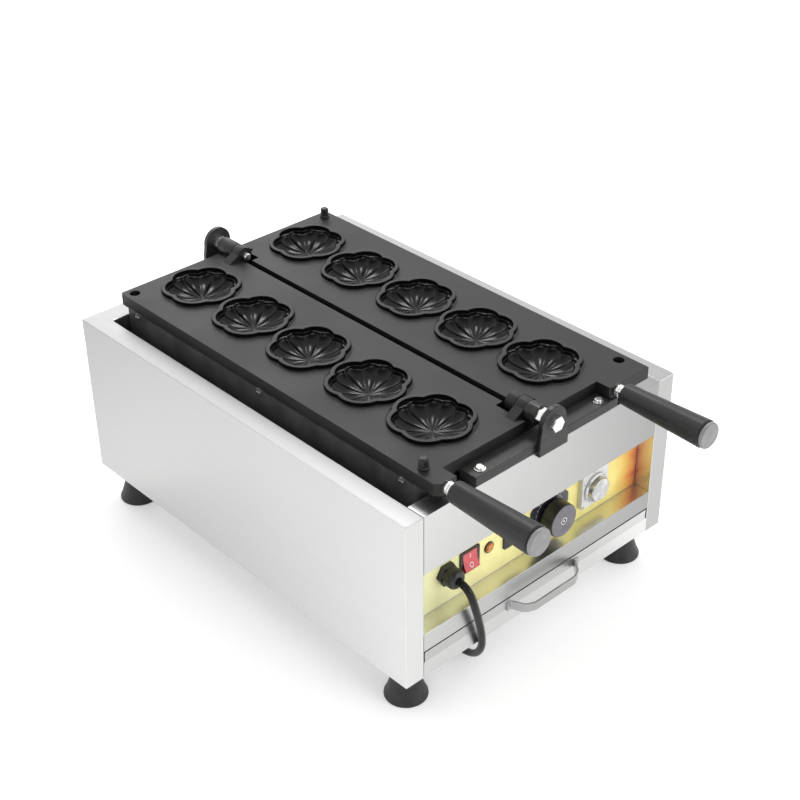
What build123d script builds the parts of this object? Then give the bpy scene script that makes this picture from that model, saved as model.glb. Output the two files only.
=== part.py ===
from build123d import *
import math
import os

os.makedirs("parts", exist_ok=True)

# =====================================================================
# Flower waffle maker: a sheet steel housing that carries two cast iron
# baking plates on one common hinge axis.  Each plate has five blossom
# cavities and its own handle, and folds over on top of the other one.
# Millimetres, +Z up, front towards -Y, origin on the counter under the
# middle of the object's outline.
# =====================================================================

# ---- driving dimensions ---------------------------------------------
C = 55.25                 # housing centre, this far behind the origin
W2 = 205.0                # half width of the housing
D2 = 280.0                # half depth of the housing
Z0 = 46.5                 # underside of the housing (height of the feet)
Z1 = 255.0                # top of the housing
T = 1.2                   # housing sheet
IX = 180.0                # inner skin of the side panels
IY = 252.0                # inner skin of the rear panel
FX = 179.7                # half width of the front panel and the base

PANEL_Y = -257.7          # face of the recessed control panel
NICHE_Z0, NICHE_Z1 = 104.5, 183.0
RETURN_Z = 81.5           # lower edge of the front panel
FLANGE_Z = 66.9           # upper edge of the base plate's front flange

PY = 1.25                 # middle of the baking plates (from the housing centre)
PL = 259.5                # half length of a plate
PX0, PX1 = 4.2, 160.0     # inner and outer edge of a plate
PZ0, PZ1 = 266.5, 281.0   # underside and top of a plate
RIM_Z = 285.4             # top of the blossom rims
HINGE_Z = 285.6           # common hinge axis
CAV_X, CAV_Y, CAV_STEP = 82.3, 7.4, 98.7   # row of blossoms: from the hinge axis, its middle, pitch
RIM_R, CAV_R = 48.0, 43.0 # blossom outlines: outside of the rim, cavity
KNUCKLE_R, BOLT_R, BORE_R = 10.5, 4.95, 5.0
PIN_X, PIN_Y = 148.0, 247.25   # locating pins and holes, from the plate's middle

RAIL_X, RAIL_Z = 108.0, 266.4
HANDLE_LX, HANDLE_RX, HANDLE_Z = -147.5, 107.0, 275.5

TRAY_Z0, TRAY_Z1 = 67.0, 79.8
FOOT_X, FOOT_Y = 175.3, 247.3

GLAND_X, GLAND_Z = -128.0, 144.5
ROCKER_X, ROCKER_Z = -93.7, 143.0
LAMP_X, LAMP_Z = -64.0, 143.5
BUZZER_X, BUZZER_Z = -28.3, 142.5
THERMO_X, THERMO_Z = 30.0, 141.0
TIMER_X, TIMER_Z = 99.8, 143.5

CORD_R = 4.3
CORD_LENGTH = 1850.0


# ---- working planes, all measured from the housing centre -------------
def deck(z, x=0.0, y=0.0):
    """Horizontal plane seen from above: local X, Y."""
    return Plane(origin=(x, C + y, z))


def face(y, x=0.0, z=0.0):
    """Upright plane seen from the front: local X, Z; extrudes forward."""
    return Plane(origin=(x, C + y, z), x_dir=(1, 0, 0), z_dir=(0, -1, 0))


def flank(x, y=0.0, z=0.0):
    """Upright plane seen from the right: local Y, Z; extrudes to the right."""
    return Plane(origin=(x, C + y, z), x_dir=(0, 1, 0), z_dir=(1, 0, 0))


AXIS_TURN = Axis((0, C + PY, 0), (0, 0, 1))   # half a turn maps one plate on the other


def blossom_points(radius, notch):
    """Six lobes: notch points at every 60 degrees, lobe tips between them."""
    pts = []
    for k in range(6):
        a, b = math.radians(60 * k), math.radians(60 * k + 30)
        pts.append((notch * math.cos(a), notch * math.sin(a)))
        pts.append((radius * math.cos(b), radius * math.sin(b)))
    return pts


# =====================================================================
# Housing
# =====================================================================
with BuildPart() as left_side_panel:
    with BuildSketch(deck(Z0)):
        with BuildLine():
            Polyline((-W2, -D2), (-IX, -D2), (-IX, IY), (-W2, D2), close=True)
        make_face()
    extrude(amount=Z1 - Z0)
    with BuildSketch(deck(Z0)):
        with BuildLine():
            Polyline((-W2 + T, -D2 + T), (-IX - T, -D2 + T), (-IX - T, D2 + 20), (-W2 + T, D2 + 20), close=True)
        make_face()
    extrude(amount=Z1 - Z0 - T, mode=Mode.SUBTRACT)
    top_edges = left_side_panel.edges().group_by(Axis.Z)[-1]
    front_edges = left_side_panel.edges().filter_by(Axis.Z).group_by(Axis.Y)[0]
    fillet(top_edges.filter_by(Axis.X) + top_edges.filter_by(Axis.Y) + front_edges, 0.9)

with BuildPart() as right_side_panel:
    mirror(left_side_panel.part, about=Plane.YZ)

with BuildPart() as rear_panel:
    with BuildSketch(deck(Z0)):
        with BuildLine():
            Polyline((-W2, D2), (W2, D2), (IX, IY), (-IX, IY), close=True)
        make_face()
    extrude(amount=Z1 - Z0)
    with BuildSketch(deck(Z0, 0, (IY + D2) / 2)):
        Rectangle(2 * W2 + 10, D2 - IY - 2 * T)
    extrude(amount=Z1 - Z0 - T, mode=Mode.SUBTRACT)
    fillet(rear_panel.edges().group_by(Axis.Z)[-1].filter_by(Axis.X), 0.9)

# One bent sheet: top strip, upper front, niche with the control panel, lower front.
outer_run = [(-256, Z1), (-D2, Z1), (-D2, NICHE_Z1), (PANEL_Y, NICHE_Z1), (PANEL_Y, NICHE_Z0),
             (-D2, NICHE_Z0), (-D2, RETURN_Z), (-262, RETURN_Z)]
inner_run = [(-262, RETURN_Z + T), (-D2 + T, RETURN_Z + T), (-D2 + T, NICHE_Z0 - T), (PANEL_Y + T, NICHE_Z0 - T),
             (PANEL_Y + T, NICHE_Z1 + T), (-D2 + T, NICHE_Z1 + T), (-D2 + T, Z1 - T), (-256, Z1 - T)]
with BuildPart() as front_panel:
    with BuildSketch(flank(-FX)) as front_profile:
        with BuildLine():
            Polyline(*outer_run, *inner_run, close=True)
        make_face()
        fillet(front_profile.vertices(), 0.5)
    extrude(amount=2 * FX)
    with BuildSketch(face(PANEL_Y + 2.5)):
        with Locations((GLAND_X, GLAND_Z)):
            Circle(8.2)
        with Locations((ROCKER_X, ROCKER_Z)):
            Rectangle(23.8, 27.4)
        with Locations((LAMP_X, LAMP_Z)):
            Circle(5.6)
        with Locations((BUZZER_X, BUZZER_Z)):
            Circle(11.2)
        with Locations((THERMO_X, THERMO_Z), (TIMER_X, TIMER_Z)):
            Circle(5.0)
    extrude(amount=4, mode=Mode.SUBTRACT)

with BuildPart() as base_plate:
    with BuildSketch(flank(-FX)):
        with BuildLine():
            Polyline((-D2, FLANGE_Z), (-D2, Z0), (251.7, Z0), (251.7, Z0 + T), (-D2 + T, Z0 + T),
                     (-D2 + T, FLANGE_Z), close=True)
        make_face()
    extrude(amount=2 * FX)
    fillet(base_plate.edges().filter_by(Axis.X).group_by(Axis.Y)[0].sort_by(Axis.Z)[0], 0.9)
    with BuildSketch(deck(Z0 - 1)):
        with GridLocations(58, 15, 5, 19):
            SlotOverall(44, 5)
        with Locations((FOOT_X, FOOT_Y), (-FOOT_X, FOOT_Y), (FOOT_X, -FOOT_Y), (-FOOT_X, -FOOT_Y)):
            Circle(2.8)
    extrude(amount=T + 2, mode=Mode.SUBTRACT)

# Sheet that closes the wiring space behind the control panel off from the heat.
with BuildPart() as compartment_shield:
    with BuildSketch(flank(-179.4)):
        with BuildLine():
            Polyline((-278.5, 206), (-190, 206), (-190, 84), (-276, 84), (-276, 85), (-191, 85),
                     (-191, 205), (-278.5, 205), close=True)
        make_face()
    extrude(amount=358.8)

with BuildPart() as tray_runners:
    with BuildSketch(face(-275)):
        for s in (-1, 1):
            with Locations((s * 173.8, FLANGE_Z - 1.1)):
                Rectangle(12.4, 2.2)
    extrude(amount=-515)

with BuildPart() as rubber_foot_form:
    with BuildSketch(Plane.XZ):
        with BuildLine():
            Polyline((2.8, 12), (6.2, 12), (6.2, 0), (24.0, 0), (24.3, 0.5), (24.3, 2.6), (23.8, 3.4))
            ThreePointArc((23.8, 3.4), (21.6, 16.5), (16.2, 31.5))
            Polyline((16.2, 31.5), (14.4, 35.0), (14.4, Z0), (2.8, Z0), (2.8, 12))
        make_face()
    revolve(axis=Axis.Z)

with BuildPart() as rubber_feet:
    with Locations(*[(sx * FOOT_X, C + sy * FOOT_Y, 0) for sx in (-1, 1) for sy in (-1, 1)]):
        add(rubber_foot_form.part)

with BuildPart() as foot_screw_form:
    Cylinder(5.0, 3.6, align=(Align.CENTER, Align.CENTER, Align.MAX))
    Cylinder(2.5, 40.0, align=(Align.CENTER, Align.CENTER, Align.MIN))
    with Locations((0, 0, Z0 + T - 12)):
        Cylinder(3.3, 3.4, align=(Align.CENTER, Align.CENTER, Align.MIN))
    with Locations((0, 0, -3.6)):
        Box(1.2, 8, 2.0, mode=Mode.SUBTRACT)
        Box(8, 1.2, 2.0, mode=Mode.SUBTRACT)

with BuildPart() as foot_screws:
    with Locations(*[(sx * FOOT_X, C + sy * FOOT_Y, 12) for sx in (-1, 1) for sy in (-1, 1)]):
        add(foot_screw_form.part)

# =====================================================================
# Rails and the fixed half of the hinge
# =====================================================================
SCREWS_X = (-94.0, 86.0)
SCREW_Y = 271.0

with BuildPart() as front_rail:
    with BuildSketch(deck(Z1)):
        with Locations((0, -268)):
            Rectangle(2 * RAIL_X, 24)
        with Locations(*[(x, -SCREW_Y) for x in SCREWS_X]):
            Circle(3.2, mode=Mode.SUBTRACT)
    extrude(amount=RAIL_Z - Z1)
    chamfer(front_rail.edges().group_by(Axis.Z)[-1].filter_by(Axis.X), 0.8)

with BuildPart() as rear_rail:
    with BuildSketch(deck(Z1)):
        with Locations((0, 268)):
            Rectangle(2 * RAIL_X, 24)
        with Locations(*[(-x, SCREW_Y) for x in SCREWS_X]):
            Circle(3.2, mode=Mode.SUBTRACT)
    extrude(amount=RAIL_Z - Z1)
    chamfer(rear_rail.edges().group_by(Axis.Z)[-1].filter_by(Axis.X), 0.8)

# Machine screw with a slotted pan head and a washer.
with BuildPart() as rail_screw_form:
    Cylinder(6.2, 1.0, align=(Align.CENTER, Align.CENTER, Align.MIN))
    with Locations((0, 0, 1.0)):
        Cylinder(4.7, 2.6, align=(Align.CENTER, Align.CENTER, Align.MIN))
    fillet(rail_screw_form.edges().group_by(Axis.Z)[-1], 1.2)
    Cylinder(3.0, 11.3, align=(Align.CENTER, Align.CENTER, Align.MAX))
    with Locations((0, 0, 3.6)):
        Box(10, 1.1, 2.6, mode=Mode.SUBTRACT)

with BuildPart() as rail_screws:
    with Locations(*[(x, C - SCREW_Y, RAIL_Z) for x in SCREWS_X], *[(-x, C + SCREW_Y, RAIL_Z) for x in SCREWS_X]):
        add(rail_screw_form.part)

with BuildPart() as front_hinge_ear:
    with BuildSketch(face(-D2)):
        with BuildLine():
            Polyline((-20.5, 251), (22.5, 251), (22.5, 260.7), (20.4, 262), (20.4, 271), (18.3, 284.8),
                     (-18.3, 284.8), (-20.5, 268), close=True)
        make_face()
        with Locations((0, HINGE_Z)):
            Circle(18.5)
            Circle(5.2, mode=Mode.SUBTRACT)
    extrude(amount=5.5)
    chamfer(front_hinge_ear.faces().sort_by(Axis.Y)[0].outer_wire().edges(), 0.6)

with BuildPart() as rear_hinge_ear:
    add(front_hinge_ear.part.rotate(Axis((0, C, 0), (0, 0, 1)), 180))

# Hex head bolts: the plates' knuckles turn on their shanks.
with BuildPart() as bolt_form:
    with BuildSketch(Plane.XY):
        RegularPolygon(8.0, 6, major_radius=False)
    extrude(amount=6.0)
    chamfer(bolt_form.edges().group_by(Axis.Z)[-1], 0.7)
    Cylinder(BOLT_R, 65.5, align=(Align.CENTER, Align.CENTER, Align.MAX))
    chamfer(bolt_form.edges().group_by(Axis.Z)[0], 1.0)

with BuildPart() as hinge_bolts:
    with Locations(Plane(origin=(0, C - D2 - 5.5, HINGE_Z), x_dir=(1, 0, 0), z_dir=(0, -1, 0)),
                   Plane(origin=(0, C + D2 + 5.5, HINGE_Z), x_dir=(1, 0, 0), z_dir=(0, 1, 0))):
        add(bolt_form.part)

with BuildPart() as hinge_spacers:
    with BuildSketch(face(PY - 252.3, 0, HINGE_Z)):
        Circle(KNUCKLE_R)
        Circle(BORE_R, mode=Mode.SUBTRACT)
    extrude(amount=14.7)
    with BuildSketch(face(PY + 252.3, 0, HINGE_Z)):
        Circle(KNUCKLE_R)
        Circle(BORE_R, mode=Mode.SUBTRACT)
    extrude(amount=-14.7)

with BuildPart() as hinge_nuts:
    for y0, h in ((-265.8, 6.8), (-272.9, 7.0), (273.9, 5.6), (279.9, 5.7)):
        with BuildSketch(face(y0, 0, HINGE_Z)):
            RegularPolygon(8.0, 6, major_radius=False)
            Circle(BORE_R, mode=Mode.SUBTRACT)
        extrude(amount=h)

# =====================================================================
# Baking plates
# =====================================================================
# Cutter for one cavity: a shallow bowl with twelve rounded flutes.
with BuildPart() as blossom_bowl:
    with BuildSketch(Plane.XZ):
        with BuildLine():
            Polyline((0, 290), (0, 270.4))
            ThreePointArc((0, 270.4), (17, 269.6), (27, 268.8))
            ThreePointArc((27, 268.8), (34.6, 272.2), (37.6, 281.4))
            Polyline((37.6, 281.4), (37.6, 290), (0, 290))
        make_face()
    revolve(axis=Axis.Z)
    with Locations(*[(27 * math.cos(math.radians(30 * k + 15)), 27 * math.sin(math.radians(30 * k + 15)), 278.5)
                     for k in range(12)]):
        Sphere(10.9)

with BuildSketch() as cavity_outline:
    with BuildLine():
        pts = blossom_points(CAV_R, CAV_R * 0.855)
        for k in range(6):
            ThreePointArc(pts[2 * k], pts[2 * k + 1], pts[(2 * k + 2) % 12])
    make_face()

with BuildSketch() as rim_outline:
    with BuildLine():
        pts = blossom_points(RIM_R, RIM_R * 0.91)
        for k in range(6):
            ThreePointArc(pts[2 * k], pts[2 * k + 1], pts[(2 * k + 2) % 12])
    make_face()


def casting(shift):
    """Left-hand plate without its lug; shift moves its row of blossoms along Y from the plate's middle."""
    cavities = [(-CAV_X, PY + shift + CAV_STEP * k) for k in (-2, -1, 0, 1, 2)]
    with BuildPart() as plate_form:
        with BuildSketch(deck(PZ0)) as slab:
            with Locations((-(PX0 + PX1) / 2, PY)):
                RectangleRounded(PX1 - PX0, 2 * PL, 3.0)
            # gap for the other plate's inner knuckle and the bolt's end
            with Locations((-(PX0 + 14.8) / 2, PY - (238.85 + 217) / 2)):
                Rectangle(14.8 - PX0 + 0.01, 238.85 - 217, mode=Mode.SUBTRACT)
            # gap for the fixed spacer in front of the outer knuckle
            with Locations((-(PX0 + 14.8) / 2, PY - (252 + 262) / 2)):
                Rectangle(14.8 - PX0 + 0.01, 10, mode=Mode.SUBTRACT)
            # gap for the other plate's outer knuckle and its spacer at the rear
            with Locations((-(PX0 + 14.8) / 2, PY + (238.85 + 262) / 2)):
                Rectangle(14.8 - PX0 + 0.01, 262 - 238.85, mode=Mode.SUBTRACT)
        extrude(amount=PZ1 - PZ0)
        # skirt inside the heater cover
        with BuildSketch(deck(254)):
            with Locations((-83.95, PY)):
                RectangleRounded(146.9, 2 * 248.4, 3.0)
                Rectangle(136.9, 2 * 243.4, mode=Mode.SUBTRACT)
        extrude(amount=PZ0 - 254 + 1)
        # bosses under the cavities
        with BuildSketch(deck(262.5)):
            with Locations(*cavities):
                Circle(36)
        extrude(amount=PZ0 - 262.5 + 1)
        # raised rims
        with BuildSketch(deck(PZ1 - 1)):
            with Locations(*cavities):
                add(rim_outline.sketch)
        extrude(amount=RIM_Z - PZ1 + 1)
        with BuildSketch(deck(280.6)):
            with Locations(*cavities):
                add(cavity_outline.sketch)
        extrude(amount=6, mode=Mode.SUBTRACT)
        with Locations(*[(x, C + y, 0) for x, y in cavities]):
            add(blossom_bowl.part, mode=Mode.SUBTRACT)
        # knuckles with the arms that carry them: outer one in front, inner one at the rear
        for y0, y1 in ((PY - 252, PY - 239.2), (PY + 225.5, PY + 238.5)):
            with BuildSketch(face(y1, 0, 0)):
                with Locations((0, HINGE_Z)):
                    Circle(KNUCKLE_R)
                with BuildLine():
                    Polyline((-4.5, 280), (-24, 280), (-24, PZ1), (-9.0, 290.0), (-4.5, 290), close=True)
                make_face()
            extrude(amount=y1 - y0)
            with BuildSketch(face(y1 + 1, 0, HINGE_Z)):
                Circle(BORE_R)
            extrude(amount=y1 - y0 + 2, mode=Mode.SUBTRACT)
        # socket of the locating pin, and the hole that takes the other plate's pin
        with BuildSketch(deck(268.5)):
            with Locations((-PIN_X, PY - PIN_Y)):
                Circle(3.05)
        extrude(amount=20, mode=Mode.SUBTRACT)
        with BuildSketch(deck(271)):
            with Locations((-PIN_X, PY + PIN_Y)):
                Circle(6.5)
        extrude(amount=20, mode=Mode.SUBTRACT)
        # tapped holes for the cover screws
        for y in (-228, 0, 228):
            for x in (-158, -16):
                with BuildSketch(flank(x, PY + y, 261.8)):
                    Circle(2.05)
                extrude(amount=6.5, mode=Mode.SUBTRACT)
        # tapped holes for the studs of the clamps
        with BuildSketch(deck(261)):
            with Locations(*[(-CAV_X, PY + shift + CAV_STEP / 2 * k) for k in (-3, -1, 3)]):
                Circle(2.55)
        extrude(amount=11, mode=Mode.SUBTRACT)
    return plate_form.part


def lug(plate_part, x0, x1, xh, cut):
    """Lug at the front edge that takes the handle's rod; its left front corner is cut off."""
    with BuildPart() as whole:
        add(plate_part)
        with BuildSketch(deck(PZ0)):
            with BuildLine():
                Polyline((x0, -255.5), (x1, -255.5), (x1, -278.0), (x0 + cut, -278.0), (x0, -278.0 + cut), close=True)
            make_face()
        extrude(amount=PZ1 - PZ0)
        with BuildSketch(face(-260, xh, HANDLE_Z)):
            Circle(4.0)
        extrude(amount=20, mode=Mode.SUBTRACT)
    return whole.part


with BuildPart() as left_mould_plate:
    add(lug(casting(CAV_Y - PY), -160.0, -134.0, HANDLE_LX, 6.0))

with BuildPart() as right_mould_plate:
    add(lug(casting(PY - CAV_Y).rotate(AXIS_TURN, 180), 97.0, 160.0, HANDLE_RX, 2.0))

with BuildPart() as left_locating_pin:
    with BuildSketch(Plane(origin=(-PIN_X, C + PY - PIN_Y, 0), x_dir=(1, 0, 0), z_dir=(0, -1, 0))):
        with BuildLine():
            Polyline((0, 270), (3.0, 270), (3.0, PZ1), (6.0, PZ1), (6.0, PZ1 + 1.6), (5.3, PZ1 + 2.6),
                     (5.0, 292.0), (3.6, 293.5), (0, 293.5), close=True)
        make_face()
    revolve(axis=Axis((-PIN_X, C + PY - PIN_Y, 0), (0, 0, 1)))

with BuildPart() as right_locating_pin:
    add(left_locating_pin.part.rotate(AXIS_TURN, 180))

# Sheet pan that closes the plate's heating chamber from below.
with BuildPart() as left_heater_cover:
    with BuildSketch(deck(224)):
        with Locations((-84, PY)):
            Rectangle(150, 500)
    extrude(amount=RAIL_Z - 224)
    fillet(left_heater_cover.edges().group_by(Axis.Z)[0], 6)
    fillet(left_heater_cover.edges().filter_by(Axis.Z), 3)
    offset(amount=-1.0, openings=left_heater_cover.faces().sort_by(Axis.Z)[-1])
    for y in (-228, 0, 228):
        for x in (-160, -12):
            with BuildSketch(flank(x, PY + y, 261.8)):
                Circle(2.2)
            extrude(amount=4, mode=Mode.SUBTRACT)

with BuildPart() as right_heater_cover:
    add(left_heater_cover.part.rotate(AXIS_TURN, 180))

# Ceramic wool that keeps the heat in the plate.
with BuildPart() as left_insulation_pad:
    with BuildSketch(deck(225.3)):
        with Locations((-84, PY)):
            Rectangle(134, 484)
    extrude(amount=20)

with BuildPart() as right_insulation_pad:
    add(left_insulation_pad.part.rotate(AXIS_TURN, 180))

# Tubular heater bent into a hairpin, with its two terminals at one end.
HEATER_Z = 258.2
with BuildPart() as left_heating_element:
    with BuildLine(deck(HEATER_Z, -CAV_X, PY)) as hairpin:
        leg_a = Line((27, 222), (27, -195))
        bend = ThreePointArc((27, -195), (0, -222), (-27, -195))
        leg_b = Line((-27, -195), (-27, 222))
    with BuildSketch(Plane(origin=(-CAV_X + 27, C + PY + 222, HEATER_Z), x_dir=(1, 0, 0), z_dir=(0, -1, 0))):
        Circle(4.0)
    sweep(path=hairpin.wires()[0])
    for s in (-1, 1):
        with BuildSketch(face(PY + 222, -CAV_X + 27 * s, HEATER_Z)):
            Circle(1.8)
        extrude(amount=-14)

with BuildPart() as right_heating_element:
    add(left_heating_element.part.rotate(AXIS_TURN, 180))

# Clamp bars under the hairpin, each with a stud and a nut, between the bosses of the blossoms.
def heater_clamps(shift):
    with BuildPart() as clamps:
        for k in (-3, -1, 3):
            y = PY + shift + CAV_STEP / 2 * k
            with BuildSketch(deck(251.1)):
                with Locations((-CAV_X, y)):
                    Rectangle(76, 16)
            extrude(amount=3.0)
            with BuildSketch(deck(247)):
                with Locations((-CAV_X, y)):
                    RegularPolygon(4.0, 6, major_radius=False)
            extrude(amount=4.2)
            with BuildSketch(deck(246)):
                with Locations((-CAV_X, y)):
                    Circle(2.5)
            extrude(amount=24)
    return clamps.part


with BuildPart() as left_heater_clamps:
    add(heater_clamps(CAV_Y - PY))

with BuildPart() as right_heater_clamps:
    add(heater_clamps(PY - CAV_Y).rotate(AXIS_TURN, 180))

with BuildPart() as left_cover_screws:
    for y in (-228, 0, 228):
        for x, s in ((-159.0, -1), (-9.0, 1)):
            with BuildSketch(flank(x, PY + y, 261.8)):
                Circle(3.6)
            extrude(amount=2.0 * s)
            with BuildSketch(flank(x, PY + y, 261.8)):
                Circle(2.0)
            extrude(amount=-6.0 * s)
            with BuildSketch(flank(x + 2.0 * s, PY + y, 261.8)):
                Rectangle(9, 0.9)
            extrude(amount=-0.9 * s, mode=Mode.SUBTRACT)

with BuildPart() as right_cover_screws:
    add(left_cover_screws.part.rotate(AXIS_TURN, 180))

# =====================================================================
# Handles
# =====================================================================
# Profiles are drawn with local X = distance from the handle's axis and
# local Y = distance in front of the housing centre.
GRIP_Y0, GRIP_Y1 = 289.0, 396.8


def spindle(x):
    return Plane(origin=(x, C, HANDLE_Z), x_dir=(1, 0, 0), z_dir=(0, 0, -1))


def spindle_axis(x):
    return Axis((x, C, HANDLE_Z), (0, 1, 0))


with BuildPart() as left_handle_rod:
    with BuildSketch(face(-262, HANDLE_LX, HANDLE_Z)):
        Circle(3.95)
    extrude(amount=130)

with BuildPart() as left_handle_ferrule:
    with BuildSketch(spindle(HANDLE_LX)):
        with BuildLine():
            Polyline((4.0, 278.0), (7.8, 278.0), (7.8, 281.0), (7.2, 281.0), (7.2, 284.4), (6.7, 284.8),
                     (7.2, 285.2), (7.0, 288.9), (4.0, 288.9), close=True)
        make_face()
    revolve(axis=spindle_axis(HANDLE_LX))

with BuildPart() as left_handle_grip:
    with BuildSketch(spindle(HANDLE_LX)):
        with BuildLine():
            Polyline((4.0, GRIP_Y0), (8.6, GRIP_Y0))
            ThreePointArc((8.6, GRIP_Y0), (11.2, GRIP_Y0 + 1.0), (12.2, GRIP_Y0 + 3.2))
            Polyline((12.2, GRIP_Y0 + 3.2), (15.7, GRIP_Y1 - 2.8))
            ThreePointArc((15.7, GRIP_Y1 - 2.8), (15.3, GRIP_Y1 - 0.6), (14.2, GRIP_Y1))
            Polyline((14.2, GRIP_Y1), (8.0, GRIP_Y1), (8.0, 392.0), (4.0, 392.0), (4.0, GRIP_Y0))
        make_face()
    revolve(axis=spindle_axis(HANDLE_LX))

with BuildPart() as left_handle_cap:
    with BuildSketch(spindle(HANDLE_LX)):
        with BuildLine():
            Polyline((0, 392.2), (7.9, 392.2), (7.9, GRIP_Y1 + 0.1), (13.6, GRIP_Y1 + 0.1), (13.6, 397.9), (14.7, 398.1),
                     (14.8, 400.8), (13.9, 402.0), (0, 402.0), close=True)
        make_face()
    revolve(axis=spindle_axis(HANDLE_LX))

HANDLE_SHIFT = Location((HANDLE_RX - HANDLE_LX, 0, 0))
with BuildPart() as right_handle_rod:
    add(left_handle_rod.part.moved(HANDLE_SHIFT))
with BuildPart() as right_handle_ferrule:
    add(left_handle_ferrule.part.moved(HANDLE_SHIFT))
with BuildPart() as right_handle_grip:
    add(left_handle_grip.part.moved(HANDLE_SHIFT))
with BuildPart() as right_handle_cap:
    add(left_handle_cap.part.moved(HANDLE_SHIFT))

# =====================================================================
# Crumb tray
# =====================================================================
with BuildPart() as crumb_tray:
    with BuildSketch(deck(TRAY_Z0)):
        with Locations((0, -22)):
            Rectangle(353, 514)
    extrude(amount=11.5)
    with BuildSketch(deck(TRAY_Z0 + 0.9)):
        with Locations((0, -22)):
            Rectangle(351.2, 512.2)
    extrude(amount=20, mode=Mode.SUBTRACT)
    with BuildSketch(face(-279.0)):
        with BuildLine():
            Polyline((-178.6, TRAY_Z0), (177.0, TRAY_Z0), (177.0, TRAY_Z1), (-178.6, TRAY_Z1), close=True)
        make_face()
    extrude(amount=1.0)

# Bow bent from flat strip, with a foot plate at each end.
with BuildPart() as tray_handle:
    with BuildSketch(deck(65.3)):
        with BuildLine():
            FilletPolyline((-57, -280.0), (-50.2, -280.0), (-42.4, -295.6), (-33.0, -299.8), (30.0, -299.8), (39.4, -295.6),
                           (51.5, -280.0), (58, -280.0), radius=[3.2, 9.0, 9.0, 9.0, 9.0, 3.2])
            FilletPolyline((-57, -282.0), (-51.6, -282.0), (-43.9, -297.2), (-33.6, -301.8), (30.6, -301.8), (40.9, -297.2),
                           (52.9, -282.0), (58, -282.0), radius=[1.2, 11.0, 11.0, 11.0, 11.0, 1.2])
            Line((-57, -280.0), (-57, -282.0))
            Line((58, -280.0), (58, -282.0))
        make_face()
    extrude(amount=10.7)
    with BuildSketch(deck(50)):
        with Locations((0, -D2)):
            Rectangle(200, 1.0)
    extrude(amount=TRAY_Z0 - 50, mode=Mode.SUBTRACT)

# =====================================================================
# Controls
# =====================================================================
with BuildPart() as control_label:
    with BuildSketch(face(PANEL_Y)):
        with BuildLine():
            Polyline((-179.2, 105.2), (179.2, 105.2), (179.2, 182.4), (-179.2, 182.4), close=True)
        make_face()
        with Locations((GLAND_X, GLAND_Z)):
            Circle(8.2, mode=Mode.SUBTRACT)
        with Locations((ROCKER_X, ROCKER_Z)):
            Rectangle(23.8, 27.4, mode=Mode.SUBTRACT)
        with Locations((LAMP_X, LAMP_Z)):
            Circle(5.6, mode=Mode.SUBTRACT)
        with Locations((BUZZER_X, BUZZER_Z)):
            Circle(11.2, mode=Mode.SUBTRACT)
        with Locations((THERMO_X, THERMO_Z), (TIMER_X, TIMER_Z)):
            Circle(5.0, mode=Mode.SUBTRACT)
    extrude(amount=0.3)

LABEL_Y = PANEL_Y - 0.3

with BuildPart() as switch_frame:
    with BuildSketch(face(LABEL_Y)):
        with Locations((ROCKER_X, ROCKER_Z)):
            RectangleRounded(28.2, 29.2, 1.2)
    extrude(amount=2.0)
    with BuildSketch(face(LABEL_Y + 17)):
        with Locations((ROCKER_X, ROCKER_Z)):
            Rectangle(23.4, 27.0)
    extrude(amount=17)
    with BuildSketch(face(LABEL_Y + 15.8)):
        with Locations((ROCKER_X, ROCKER_Z)):
            Rectangle(21.4, 25.6)
    extrude(amount=30, mode=Mode.SUBTRACT)
    for s in (-1, 1):
        with BuildSketch(flank(ROCKER_X + s * 10.5, -255.0, ROCKER_Z)):
            Circle(1.25)
        extrude(amount=1.1 * s, mode=Mode.SUBTRACT)
    for x in (-5.5, 5.5):
        with BuildSketch(face(LABEL_Y + 17)):
            with Locations((ROCKER_X + x, ROCKER_Z - 6), (ROCKER_X + x, ROCKER_Z + 6)):
                Rectangle(0.8, 6.3)
        extrude(amount=-9)

# Rocker, tipped so that its upper half is pressed in.
ROCKER_TILT = 13.0


def tipped(u, v):
    """Profile point: u along the rocker, v out of the panel; turned about its pivot."""
    a = math.radians(-ROCKER_TILT)
    return (-(u * math.sin(a) + v * math.cos(a)) - 255.0, ROCKER_Z + u * math.cos(a) - v * math.sin(a))


with BuildPart() as power_rocker:
    with BuildSketch(flank(ROCKER_X - 10.3)):
        with BuildLine():
            Polyline(tipped(-10.9, 6.2), tipped(-10.7, 7.6), tipped(-6, 6.3), tipped(0, 5.6), tipped(6, 6.3),
                     tipped(10.7, 7.6), tipped(10.9, 6.2), tipped(8.0, -3.6), tipped(-8.0, -3.6), close=True)
        make_face()
    extrude(amount=20.6)
    with BuildSketch(flank(ROCKER_X - 11.0, -255.0, ROCKER_Z)):
        Circle(1.2)
    extrude(amount=22.0)

with BuildPart() as indicator_lamp:
    with BuildSketch(face(LABEL_Y, LAMP_X, LAMP_Z)):
        Circle(6.9)
    extrude(amount=1.6)
    fillet(indicator_lamp.edges().sort_by(Axis.Y)[0], 0.7)
    with BuildSketch(face(LABEL_Y - 1.6, LAMP_X, LAMP_Z)):
        Circle(4.9)
    extrude(amount=1.9)
    fillet(indicator_lamp.edges().sort_by(Axis.Y)[0], 1.5)
    with BuildSketch(face(LABEL_Y, LAMP_X, LAMP_Z)):
        Circle(5.5)
    extrude(amount=-18)

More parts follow.
